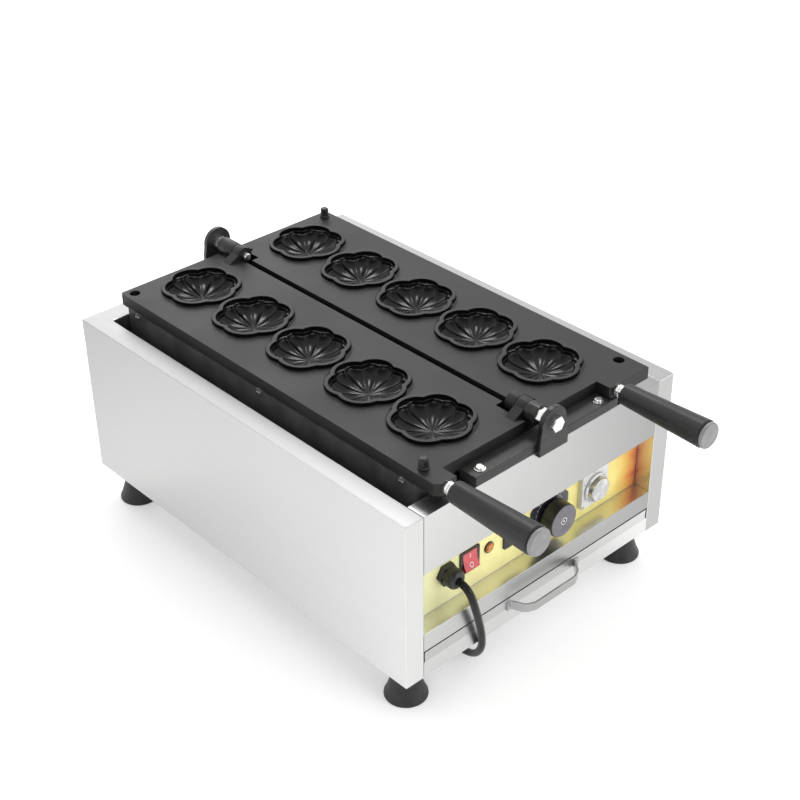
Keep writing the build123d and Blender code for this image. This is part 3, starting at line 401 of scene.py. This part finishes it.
m = M["knob_black"] = material("knob_black", (0.012, 0.012, 0.013), 0.36, spec=0.5)
c = noise(m, 200, 2)
connect(m, spread(m, c, 0.28, 0.42), "Roughness")
surface(m, [(noise(m, 900, 2), 0.10, 0.00008)], soft_edge=0.0006)
m = M["knob_face"] = material("knob_face", (0.105, 0.095, 0.115), 0.42, spec=0.5)
c = noise(m, 150, 3)
connect(m, ramp(m, c, [(0.3, (0.11, 0.10, 0.12)), (0.7, (0.16, 0.148, 0.17))]), "Base Color")
surface(m, [(noise(m, 900, 2), 0.10, 0.00008)], soft_edge=0.0005)

m = M["timer_plate"] = material("timer_plate", (0.66, 0.66, 0.65), 0.28, spec=0.5, coat=0.2)
c = noise(m, 140, 3)
connect(m, ramp(m, c, [(0.3, (0.60, 0.60, 0.59)), (0.7, (0.70, 0.70, 0.69))]), "Base Color")
surface(m, [(c, 0.04, 0.0001)], soft_edge=0.0005)
m = M["timer_silver"] = material("timer_silver", (0.62, 0.62, 0.62), 0.24, metal=0.85)
c = noise(m, 150, 3)
connect(m, ramp(m, c, [(0.3, (0.50, 0.50, 0.50)), (0.7, (0.68, 0.68, 0.68))]), "Base Color")
surface(m, [(rings(m, 99.8, 143.5, 2.2), 0.55, 0.0004)], soft_edge=0.0005)

m = M["wool"] = material("ceramic_wool", (0.80, 0.78, 0.72), 0.9, sheen=0.4)
surface(m, [(noise(m, 400, 5), 0.6, 0.001)])
m = M["heater"] = material("heater_tube", (0.22, 0.20, 0.19), 0.42, metal=0.9)
c = noise(m, 70, 3)
connect(m, ramp(m, c, [(0.3, (0.14, 0.13, 0.13)), (0.7, (0.32, 0.29, 0.26))]), "Base Color")
surface(m, [(noise(m, 500, 2), 0.1, 0.0001)])
m = M["ceramic"] = material("ceramic", (0.80, 0.78, 0.72), 0.3)
surface(m, [(noise(m, 300, 2), 0.06, 0.0002)], soft_edge=0.0006)
m = M["cord"] = material("cord_sheath", (0.014, 0.014, 0.015), 0.38, spec=0.26)
c = noise(m, 130, 3)
connect(m, ramp(m, c, [(0.3, (0.004, 0.004, 0.004)), (0.7, (0.008, 0.008, 0.008))]), "Base Color")
connect(m, spread(m, c, 0.16, 0.26), "Roughness")
surface(m, [(noise(m, 800, 2), 0.06, 0.0001)])
m = M["pins"] = material("plug_pins", (0.70, 0.68, 0.62), 0.22, metal=1.0)
c = noise(m, 200, 2)
connect(m, spread(m, c, 0.15, 0.3), "Roughness")
surface(m, [(c, 0.04, 0.0001)], soft_edge=0.0004)

# printed label: yellow, turning orange and red towards its right end
m = M["label"] = material("label_film", (0.85, 0.62, 0.12), 0.32, spec=0.4)
t = m.node_tree
sep = t.nodes.new("ShaderNodeSeparateXYZ")
tc = t.nodes.new("ShaderNodeTexCoord")
t.links.new(tc.outputs["Object"], sep.inputs["Vector"])
wob = noise(m, 30, 4, 0.6, (1, 1, 1.6))
mad = t.nodes.new("ShaderNodeMath")
mad.operation = "MULTIPLY_ADD"
mad.inputs[1].default_value = 0.030
t.links.new(wob, mad.inputs[0])
t.links.new(sep.outputs["X"], mad.inputs[2])
mr = t.nodes.new("ShaderNodeMapRange")
mr.inputs["From Min"].default_value = -0.165
mr.inputs["From Max"].default_value = 0.195
t.links.new(mad.outputs[0], mr.inputs["Value"])
colour = ramp(m, mr.outputs["Result"], [
    (0.0, (0.94, 0.95, 0.56)), (0.14, (0.94, 0.93, 0.50)), (0.30, (0.95, 0.90, 0.42)), (0.62, (0.95, 0.88, 0.34)),
    (0.88, (0.95, 0.82, 0.26)), (0.94, (0.90, 0.56, 0.12)), (0.975, (0.82, 0.28, 0.06)), (1.0, (0.58, 0.06, 0.03))])
mott = noise(m, 55, 5, 0.6)
mixm = t.nodes.new("ShaderNodeMix")
mixm.data_type = "RGBA"
mixm.blend_type = "MULTIPLY"
mixm.inputs["Factor"].default_value = 1.0
t.links.new(colour, mixm.inputs["A"])
t.links.new(ramp(m, mott, [(0.30, (0.90, 0.89, 0.86)), (0.70, (1.0, 1.0, 1.0))]), mixm.inputs["B"])
connect(m, mixm.outputs["Result"], "Base Color")
surface(m, [(noise(m, 500, 2), 0.03, 0.0001)])


def dress(name, mat, extra=()):
    """Gives a CAD node its material; extra: (test(centre in housing mm, normal), material)."""
    o = NODES[name]
    o.data.materials.clear()
    o.data.materials.append(M[mat])
    for k, (test, other) in enumerate(extra):
        o.data.materials.append(M[other])
        for p in o.data.polygons:
            c = p.center
            if test((c.x / MM, c.y / MM - C, c.z / MM), p.normal):
                p.material_index = k + 1


inside_niche = lambda c, n: 104 < c[2] < 183.6 and c[1] > -279.5
# top_strip picks the upward faces that get the darker painted-shade copy of the steel
top_strip = lambda c, n: n.z > 0.9 and c[2] > 250
dress("left_side_panel", "steel_y", [(top_strip, "steel_top_painted_shade")])
dress("right_side_panel", "steel_y", [(lambda c, n: n.x < -0.9 and c[1] > -279, "steel_polished"), (top_strip, "steel_top_painted_shade"),
                                      (lambda c, n: n.y < -0.9 and c[2] < 250, "steel_edge")])
dress("rear_panel", "steel_x", [(top_strip, "steel_top_painted_shade")])
dress("front_panel", "steel_front", [(lambda c, n: n.z > 0.9 and 103.5 < c[2] < 105.5, "steel_polished")])
for n in ("base_plate", "compartment_shield", "tray_runners"):
    dress(n, "steel_x")
dress("crumb_tray", "steel_tray")
dress("tray_handle", "steel_handle")
for n in ("foot_screws", "rail_screws", "hinge_bolts", "hinge_nuts", "left_cover_screws", "right_cover_screws",
          "left_handle_rod", "right_handle_rod", "left_heater_clamps", "right_heater_clamps"):
    dress(n, "zinc")
for n in ("left_handle_ferrule", "right_handle_ferrule"):
    dress(n, "zinc", [(lambda c, n: c[1] > -281.2, "black_steel")])
for n in ("left_locating_pin", "right_locating_pin", "hinge_spacers"):
    dress(n, "black_steel")
for n in ("left_heater_cover", "right_heater_cover"):
    dress(n, "cover")
for n in ("front_rail", "rear_rail"):
    dress(n, "rail", [(lambda c, n: abs(n.y) > 0.9 and abs(c[1]) > 279, "ear")])
dress("front_hinge_ear", "ear")
dress("rear_hinge_ear", "rail")
for n in ("left_handle_grip", "right_handle_grip"):
    dress(n, "grip")
for n in ("left_handle_cap", "right_handle_cap"):
    dress(n, "cap")
for n in ("switch_frame", "alarm_buzzer", "gland_body", "gland_nut", "plug_body", "thermostat_body", "timer_body"):
    dress(n, "black_plastic")
dress("thermostat_dial", "dial_black")
dress("control_label", "label")
dress("power_rocker", "rocker_red", [(lambda c, n: abs(n.x) > 0.7 or n.z < -0.8 or n.z > 0.8, "rocker_side")])
dress("indicator_lamp", "lamp", [(lambda c, n: math.hypot(c[0] + 64.0, c[2] - 143.5) > 5.4, "black_plastic")])
dress("thermostat_knob", "knob_black", [(lambda c, n: n.y < -0.6 and c[1] < -279, "knob_face")])
dress("timer_dial", "timer_plate")
dress("timer_knob", "timer_silver")
for n in ("left_insulation_pad", "right_insulation_pad"):
    dress(n, "wool")
for n in ("left_heating_element", "right_heating_element"):
    dress(n, "heater")
dress("terminal_block", "ceramic")
dress("plug_pins", "pins")
floor.data.materials.append(M["floor"])


# ---------------------------------------------------------------------
# Helpers for new pieces
# ---------------------------------------------------------------------
def piece(name, verts, faces, mat, body, smooth=True, angle=None):
    me = bpy.data.meshes.new(name)
    me.from_pydata([tuple(v) for v in verts], [], [tuple(f) for f in faces])
    me.update()
    o = bpy.data.objects.new(name, me)
    SCENE.collection.objects.link(o)
    me.materials.append(M[mat])
    if smooth:
        me.polygons.foreach_set("use_smooth", [True] * len(me.polygons))
        if angle is not None:
            me.set_sharp_from_angle(angle=math.radians(angle))
    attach(o, body)
    return o


def own_copy(node, name):
    """A welded copy of a CAD node's mesh as a new object."""
    me = NODES[node].data.copy()
    me.name = name
    bm = bmesh.new()
    bm.from_mesh(me)
    bmesh.ops.remove_doubles(bm, verts=bm.verts, dist=2e-6)
    bm.to_mesh(me)
    bm.free()
    me.materials.clear()
    o = bpy.data.objects.new(name, me)
    SCENE.collection.objects.link(o)
    return o


def bake(o):
    """Applies the object's modifiers to its mesh."""
    dg = bpy.context.evaluated_depsgraph_get()
    dg.update()
    me = bpy.data.meshes.new_from_object(o.evaluated_get(dg))
    old = o.data
    o.modifiers.clear()
    o.data = me
    bpy.data.meshes.remove(old)
    return o


# ---------------------------------------------------------------------
# Baking plates: the CAD plate with its five blossoms recut in detail
# ---------------------------------------------------------------------
def lobe_radius(tip, notch, theta):
    """Outline of six arcs that meet at the notches, every 60 degrees."""
    d = (np.degrees(theta) % 60.0) - 30.0
    d = np.radians(d)
    half = notch * math.sin(math.radians(30))
    sag = tip - notch * math.cos(math.radians(30))
    a = (half * half + sag * sag) / (2 * sag)
    c = tip - a
    return c * np.cos(d) + np.sqrt(np.maximum(a * a - (c * np.sin(d)) ** 2, 0))


LEDGE_Z, BOWL_Z = 280.6, 266.3


def flute_radius(theta):
    """Outline of the bowl's mouth: twelve arcs that meet at the creases."""
    d = np.radians((np.degrees(theta) % 30.0) - 15.0)
    a, c = 13.2, 27.8
    return c * np.cos(d) + np.sqrt(np.maximum(a * a - (c * np.sin(d)) ** 2, 0))


LIP = ((1.5, 0.0), (1.05, 0.05), (0.7, 0.18), (0.38, 0.42), (0.14, 0.78), (0.02, 1.25))


def bowl_height(r, theta):
    """Height inside the mouth: twelve soft flutes with fine ridges between them, which meet at the middle."""
    mouth = flute_radius(theta)
    q = np.clip(r / mouth, 0, 1)
    depth = (1 - q ** 2.2) ** 0.52
    z = LEDGE_Z - 1.25 - depth * (LEDGE_Z - 1.25 - BOWL_Z)
    # distance from the nearest crease, and a low ridge along it
    d = np.radians(((np.degrees(theta) + 15.0) % 30.0) - 15.0)
    side = np.abs(r * np.sin(d))
    fade = np.clip(r / 5.0, 0, 1) * np.clip((mouth - r) / 9.0, 0, 1)
    z = z + 0.12 * np.exp(-(side / 1.3) ** 1.4) * fade
    # flutes are hollow across
    across = np.cos(np.radians(((np.degrees(theta)) % 30.0) - 15.0) * 6.0)
    return z - 0.95 * across ** 2 * np.clip(r / 30.0, 0, 1) ** 1.2 * (1 - q ** 4)


def blossom_insert(cx, cy):
    """Closed body of one blossom in its round of the plate."""
    na = 192
    th = np.arange(na) * 2 * math.pi / na
    rings = []

    def ring(r, z):
        r = np.broadcast_to(r, th.shape)
        z = np.broadcast_to(z, th.shape)
        rings.append(np.stack([cx + r * np.cos(th), cy + r * np.sin(th), z], -1))

    # underside, from the middle outwards
    ring(1.0, 262.5)
    ring(35.2, 262.5)
    ring(36.0, 263.2)
    ring(36.0, 266.5)
    ring(48.70, 266.5)
    ring(48.70, PZ1 - 0.5)
    ring(48.70, PZ1)
    # rim: flank, rounded top, inner wall
    ring(lobe_radius(48.1, 43.9, th), PZ1)
    ring(lobe_radius(47.8, 43.6, th), PZ1 + 0.25)
    ring(lobe_radius(47.7, 43.5, th), RIM_Z - 1.6)
    ring(lobe_radius(47.6, 43.4, th), RIM_Z - 0.35)
    ring(lobe_radius(47.4, 43.2, th), RIM_Z - 0.1)
    ring(lobe_radius(47.0, 42.8, th), RIM_Z)
    ring(lobe_radius(43.7, 38.0, th), RIM_Z)
    ring(lobe_radius(43.3, 37.5, th), RIM_Z - 0.1)
    ring(lobe_radius(43.1, 37.3, th), RIM_Z - 0.4)
    ring(lobe_radius(43.0, 37.2, th), RIM_Z - 2.2)
    ring(lobe_radius(42.9, 37.1, th), LEDGE_Z + 0.5)
    inner = lobe_radius(42.5, 36.7, th)
    ring(inner, LEDGE_Z)
    # ledge, rounded lip, then the flutes down to the middle
    mouth = flute_radius(th)
    for i, (out, drop) in enumerate(LIP):
        ring(np.minimum(mouth + out, inner - 0.05 * (i + 1)), LEDGE_Z - drop)
    mouth = np.minimum(mouth, inner - 0.4)
    steps = 60
    for k in range(1, steps):
        t = 1 - (k / steps) ** 1.35
        r = mouth * t
        ring(r, bowl_height(r, th))
    n = len(rings)
    verts = np.concatenate(rings + [np.array([[cx, cy, 262.5], [cx, cy, float(bowl_height(np.array([0.0]), np.array([0.26]))[0])]])])
    faces, kinds = [], []
    for k in range(n - 1):
        a, b = k * na, (k + 1) * na
        for j in range(na):
            j2 = (j + 1) % na
            faces.append((a + j, a + j2, b + j2, b + j))
            kinds.append(0 if k < 7 or 11 <= k < 14 else 2 if k < 19 else 3 if k < 26 else 1)
    bottom, top = n * na, n * na + 1
    for j in range(na):
        faces.append((bottom, (j + 1) % na, j))
        faces.append((top, (n - 1) * na + j, (n - 1) * na + (j + 1) % na))
        kinds += [0, 1]
    verts = np.stack([verts[:, 0] * MM, (verts[:, 1] + C) * MM, verts[:, 2] * MM], -1)
    return verts, faces, kinds


def plate(side, sign):
    node = side + "_mould_plate"
    o = own_copy(node, side + "_plate_casting")
    centres = [(sign * CAV_X, CAV_Y + CAV_STEP * k) for k in (-2, -1, 0, 1, 2)]
    bm = bmesh.new()
    for cx, cy in centres:
        bmesh.ops.create_cone(bm, cap_ends=True, segments=192, radius1=48.7 * MM, radius2=48.7 * MM, depth=0.0376,
                              matrix=Matrix.Translation(P(cx, cy, 281.2)))
    cutter_me = bpy.data.meshes.new("cutter")
    bm.to_mesh(cutter_me)
    bm.free()
    cutter = bpy.data.objects.new("cutter", cutter_me)
    SCENE.collection.objects.link(cutter)
    mod = o.modifiers.new("cut", "BOOLEAN")
    mod.operation = "DIFFERENCE"
    mod.solver = "EXACT"
    mod.object = cutter
    bake(o)
    bpy.data.objects.remove(cutter)
    # round the casting's edges, but not the cut rounds
    bm = bmesh.new()
    bm.from_mesh(o.data)
    bmesh.ops.remove_doubles(bm, verts=bm.verts, dist=2e-6)
    bmesh.ops.dissolve_limit(bm, angle_limit=math.radians(0.6), verts=bm.verts, edges=bm.edges)
    bm.normal_update()
    layer = bm.edges.layers.float.get("bevel_weight_edge") or bm.edges.layers.float.new("bevel_weight_edge")
    for e in bm.edges:
        w = 0.0
        if len(e.link_faces) == 2 and e.calc_face_angle(0) > math.radians(35):
            mid = (e.verts[0].co + e.verts[1].co) / 2
            x, y = mid.x / MM, mid.y / MM - C
            near_round = any(abs(math.hypot(x - cx, y - cy) - 48.7) < 0.4 for cx, cy in centres)
            if not near_round and mid.z > 266.0 * MM:
                w = 1.0
        e[layer] = w
    bm.to_mesh(o.data)
    bm.free()
    mod = o.modifiers.new("edges", "BEVEL")
    mod.limit_method = "WEIGHT"
    mod.width = 0.9 * MM
    mod.segments = 3
    mod.use_clamp_overlap = True
    bake(o)
    allv, allf, allk = [], [], []
    for cx, cy in centres:
        v, f, kinds = blossom_insert(cx, cy)
        allk += kinds
        off = sum(len(a) for a in allv)
        allv.append(v)
        allf += [tuple(i + off for i in q) for q in f]
    ins = bpy.data.meshes.new("ins")
    ins.from_pydata(np.concatenate(allv).tolist(), [], allf)
    ins.update()
    before = len(o.data.polygons)
    bm = bmesh.new()
    bm.from_mesh(o.data)
    bm.from_mesh(ins)
    bm.to_mesh(o.data)
    bm.free()
    bpy.data.meshes.remove(ins)
    o.data.materials.clear()
    for k in ("iron", "cavity", "rim", "lip"):
        o.data.materials.append(M[k])
    # the flat faces keep their own normal
    o.data.set_sharp_from_angle(angle=math.radians(50))
    o.data.polygons.foreach_set("use_smooth", [i >= before or (p.area < 6e-5 and max(map(abs, p.normal)) < 0.999) for i, p in enumerate(o.data.polygons)])
    o.data.polygons.foreach_set("material_index", [0] * before + allk)
    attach(o, side + "_plate")
    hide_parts(node)
    return o


plate("left", -1)
plate("right", 1)


# ---------------------------------------------------------------------
# Feet: flared rubber with a lip, narrower above it than the CAD solid
# ---------------------------------------------------------------------
def feet():
    prof = [(6.2, 12.0), (6.2, 0.0), (23.6, 0.0), (24.2, 0.4), (24.3, 1.2), (24.2, 2.6), (23.3, 3.8), (20.8, 10.5),
            (18.2, 18.5), (16.1, 27.0), (14.8, 36.0), (14.3, 46.5), (2.8, 46.5), (2.8, 12.0)]
    verts, faces, seg, m_ = [], [], 64, len(prof)
    for sx in (-1, 1):
        for sy in (-1, 1):
            n = len(verts)
            for i in range(seg):
                a = 2 * math.pi * i / seg
                verts += [P(sx * 175.3 + r * math.cos(a), sy * 247.3 + r * math.sin(a), z) for r, z in prof]
            for i in range(seg):
                k = (i + 1) % seg
                for j in range(m_):
                    faces.append((n + i * m_ + j, n + k * m_ + j, n + k * m_ + (j + 1) % m_, n + i * m_ + (j + 1) % m_))
    o = piece("feet_flared", verts, faces, "rubber", "housing", angle=40)
    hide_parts("rubber_feet")


feet()


# ---------------------------------------------------------------------
# Print and marks on the controls
# ---------------------------------------------------------------------
class Flat:
    """Flat shapes on an upright plane, drawn in housing X and Z."""

    def __init__(self):
        self.verts, self.faces = [], []

    def poly(self, pts):
        n = len(self.verts)
        self.verts += pts
        self.faces.append(tuple(range(n, n + len(pts))))

    def bar(self, x, z, w, h, angle=0.0):
        c, s_ = math.cos(angle), math.sin(angle)
        self.poly([(x + a * c - b * s_, z + a * s_ + b * c) for a, b in
                   ((-w / 2, -h / 2), (w / 2, -h / 2), (w / 2, h / 2), (-w / 2, h / 2))])

    def disc(self, x, z, r, n=12):
        self.poly([(x + r * math.cos(2 * math.pi * k / n), z + r * math.sin(2 * math.pi * k / n)) for k in range(n)])

    def ring(self, x, z, r0, r1, n=48):
        for k in range(n):
            a, b = 2 * math.pi * k / n, 2 * math.pi * (k + 1) / n
            self.poly([(x + r0 * math.cos(a), z + r0 * math.sin(a)), (x + r1 * math.cos(a), z + r1 * math.sin(a)),
                       (x + r1 * math.cos(b), z + r1 * math.sin(b)), (x + r0 * math.cos(b), z + r0 * math.sin(b))])

    def word(self, text, x, z, size, angle=0.0):
        cu = bpy.data.curves.new("word", "FONT")
        cu.body = text
        cu.size = size
        cu.align_x = "CENTER"
        cu.align_y = "CENTER"
        o = bpy.data.objects.new("word", cu)
        SCENE.collection.objects.link(o)
        dg = bpy.context.evaluated_depsgraph_get()
        dg.update()
        me = bpy.data.meshes.new_from_object(o.evaluated_get(dg))
        c, s_ = math.cos(angle), math.sin(angle)
        n = len(self.verts)
        self.verts += [(x + v.co.x * c - v.co.y * s_, z + v.co.x * s_ + v.co.y * c) for v in me.vertices]
        self.faces += [tuple(i + n for i in p.vertices) for p in me.polygons]
        bpy.data.objects.remove(o)
        bpy.data.curves.remove(cu)
        bpy.data.meshes.remove(me)

    def make(self, name, y, mat, body):
        o = piece(name, [P(x, y, z) for x, z in self.verts], self.faces, mat, body, smooth=False)
        return o


TX, TZ = 30.0, 141.0
dial = Flat()
for k in range(55):
    a = math.radians(225 - 5 * k)
    if k % 9:
        dial.disc(TX + 22.2 * math.cos(a), TZ + 22.2 * math.sin(a), 0.42 if k % 3 else 0.62, 10)
for k, w in enumerate(("0", "50", "100", "150", "200", "250", "300")):
    a = math.radians(225 - 45 * k)
    dial.bar(TX + 22.4 * math.cos(a), TZ + 22.4 * math.sin(a), 2.2, 0.7, a)
    r = 26.3 if k in (1, 3, 5) else 27.4
    dial.word(w, TX + r * math.cos(a), TZ + r * math.sin(a), 4.4)
dial.make("thermostat_dial_print", -259.46, "white_print", "housing")

knob = Flat()
knob.ring(TX, TZ, 3.5, 4.4, 40)
knob.disc(TX, TZ, 1.3, 16)
knob.make("thermostat_knob_mark", -280.86, "white_print", "thermostat_knob")

MX, MZ = 99.8, 143.5
scale = Flat()
for k in range(26):
    a = math.radians(90 - 12 * k)
    scale.bar(MX + 19.1 * math.cos(a), MZ + 19.1 * math.sin(a), 1.2 if k % 5 else 1.8, 0.32 if k % 5 else 0.55, a)
for k in range(6):
    a = math.radians(90 - 60 * k)
    x, z = MX + 21.4 * math.cos(a), MZ + 21.6 * math.sin(a)
    if k == 0:
        x -= 2.6
    scale.word(str(k), min(max(x, MX - 20.0), MX + 20.0), min(max(z, MZ - 21.3), MZ + 21.3), 3.0)
for s_ in (-1, 1):
    scale.ring(MX + 18.6 * s_, MZ - 20.3, 0.5, 1.3, 16)
scale.make("timer_dial_print", -264.56, "dark_print", "housing")


def tipped(x, u, out=0.08):
    """Point on the rocker's tipped face, u along it from its middle."""
    a = math.radians(-13.0)
    w = abs(u)
    v = (5.6 + 0.7 * w / 6 if w <= 6 else 6.3 + 1.3 * (w - 6) / 4.7) + out
    return P(-93.7 + x, -(u * math.sin(a) + v * math.cos(a)) - 255.0, 143.0 + u * math.cos(a) - v * math.sin(a))


marks_v, marks_f = [], []
for u0, u1 in ((2.8, 6.0), (6.0, 7.8)):
    n = len(marks_v)
    marks_v += [tipped(-0.5, u0), tipped(0.5, u0), tipped(0.5, u1), tipped(-0.5, u1)]
    marks_f.append((n, n + 1, n + 2, n + 3))
for k in range(36):
    a, b = 2 * math.pi * k / 36, 2 * math.pi * (k + 1) / 36
    n = len(marks_v)
    marks_v += [tipped(r * math.cos(w), -5.6 + 1.12 * r * math.sin(w), 0.12) for r, w in ((1.75, a), (2.65, a), (2.65, b), (1.75, b))]
    marks_f.append((n, n + 1, n + 2, n + 3))
o = piece("rocker_marks", marks_v, marks_f, "white_print", "power_rocker", smooth=False)


# ---------------------------------------------------------------------
# Bright bead along the heater covers' upper edges
# ---------------------------------------------------------------------
def bead(side, sign):
    x0, x1, y0, y1 = 8.6, 159.4, PY - 250.4, PY + 250.4
    loop = []
    for cx, cy, a0 in ((x1 - 3.4, y1 - 3.4, 0), (x0 + 3.4, y1 - 3.4, 90), (x0 + 3.4, y0 + 3.4, 180), (x1 - 3.4, y0 + 3.4, 270)):
        for k in range(7):
            a = math.radians(a0 + 15 * k)
            loop.append((cx, cy, math.cos(a), math.sin(a)))
    prof = [(2.9, 265.2), (3.35, 265.2), (3.4, 265.5), (3.4, 266.1), (3.3, 266.35), (2.9, 266.35)]
    verts = [P(sign * (cx + r * c), cy + r * s_, z) for cx, cy, c, s_ in loop for r, z in prof]
    faces, n, m_ = [], len(loop), len(prof)
    for i in range(n):
        for j in range(m_):
            q = (i * m_ + j, ((i + 1) % n) * m_ + j, ((i + 1) % n) * m_ + (j + 1) % m_, i * m_ + (j + 1) % m_)
            faces.append(q if sign > 0 else q[::-1])
    o = piece(side + "_cover_edge", verts, faces, "edge_metal", side + "_plate", angle=40)


bead("left", -1)
bead("right", 1)


# ---------------------------------------------------------------------
# Mains cord: one curve from the gland to the coil and the plug
# ---------------------------------------------------------------------
FLOOR = 4.4
COIL_X, COIL_Y = 10.0, 357.0
route = [
    (-128.0, -270.0, 144.5),
    (-127.9, -279.5, 144.3),
    (-127.4, -287.6, 141.6),
    (-125.8, -292.6, 134.2),
    (-122.2, -293.9, 121.5),
    (-115.8, -292.8, 103.0),
    (-108.0, -290.2, 81.0),
    (-101.6, -287.6, 58.5),
    (-97.2, -283.0, 38.0),
    (-93.6, -271.0, 19.5),
    (-90.0, -251.0, 8.6),
    (-86.4, -222.0, FLOOR),
    (-81.0, -176.0, FLOOR),
    (-70.0, -96.0, FLOOR),
    (-58.5, 12.0, FLOOR),
    (-51.0, 118.0, FLOOR),
    (-49.5, 214.0, FLOOR),
    (-46.5, 270.0, FLOOR),
    (-42.0, 318.0, FLOOR),
    (COIL_X - 49.6, COIL_Y - 7.0, FLOOR),
]


def step(a, b, t):
    t = min(max(t, 0.0), 1.0)
    t = t * t * (3 - 2 * t)
    return a + (b - a) * t


coil = []
PER = 14
count = int(3.5 * PER)
for k in range(count + 1):
    s = (k + 0.6) / PER if k < 2 else k / PER
    a = math.pi - 2 * math.pi * s
    r = 49.4 if s < 0.8 else step(49.4, 40.7, (s - 0.8) / 0.35)
    z = FLOOR if s < 1.75 else step(FLOOR, FLOOR + 8.7, (s - 1.75) / 0.4)
    if s > 2.75:
        r = step(40.7, 49.4, (s - 2.75) / 0.4)
    coil.append((COIL_X + r * math.cos(a), COIL_Y + r * math.sin(a), z))
tail = [
    (COIL_X + 49.6, COIL_Y - 20.0, 12.2),
    (COIL_X + 54.5, COIL_Y - 37.0, 9.4),
    (COIL_X + 67.0, COIL_Y - 51.0, 8.0),
    (COIL_X + 83.5, COIL_Y - 59.0, 9.8),
    (COIL_X + 101.0, COIL_Y - 61.0, 14.2),
    (COIL_X + 116.0, COIL_Y - 60.2, 17.6),
]
cv = bpy.data.curves.new("mains_cord", "CURVE")
cv.dimensions = "3D"
sp = cv.splines.new("NURBS")
pts = [P(*q) for q in route + coil + tail]
sp.points.add(len(pts) - 1)
for q, p in zip(sp.points, pts):
    q.co = (*p, 1)
sp.order_u = 3
sp.use_endpoint_u = True
sp.resolution_u = 8
cv.bevel_depth = 4.3 * MM
cv.bevel_resolution = 6
cv.use_fill_caps = True
cord = bpy.data.objects.new("mains_cord", cv)
SCENE.collection.objects.link(cord)
cv.materials.append(M["cord"])
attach(cord, "housing")
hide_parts("power_cord", "cord_coil", "cord_tail")

# tie round the coil's turns
prof = []
for cx, cz, a0 in ((6.2, 14.3, 0), (-6.2, 14.3, 90), (-6.2, 3.9, 180), (6.2, 3.9, 270)):
    for k in range(6):
        a = math.radians(a0 + 18 * k)
        prof.append((cx, cz, math.cos(a), math.sin(a)))
tie_v, tie_f = [], []
for cx, cz, c_, s_ in prof:
    for x, r in ((-2.6, 3.9), (2.6, 3.9), (2.6, 3.2), (-2.6, 3.2)):
        tie_v.append(P(COIL_X + x, COIL_Y + 45.0 + cx + r * c_, cz + r * s_))
for i in range(len(prof)):
    for j in range(4):
        k = (i + 1) % len(prof)
        tie_f.append((i * 4 + j, k * 4 + j, k * 4 + (j + 1) % 4, i * 4 + (j + 1) % 4))
tie = piece("cord_tie", tie_v, tie_f, "black_plastic", "housing", angle=40)
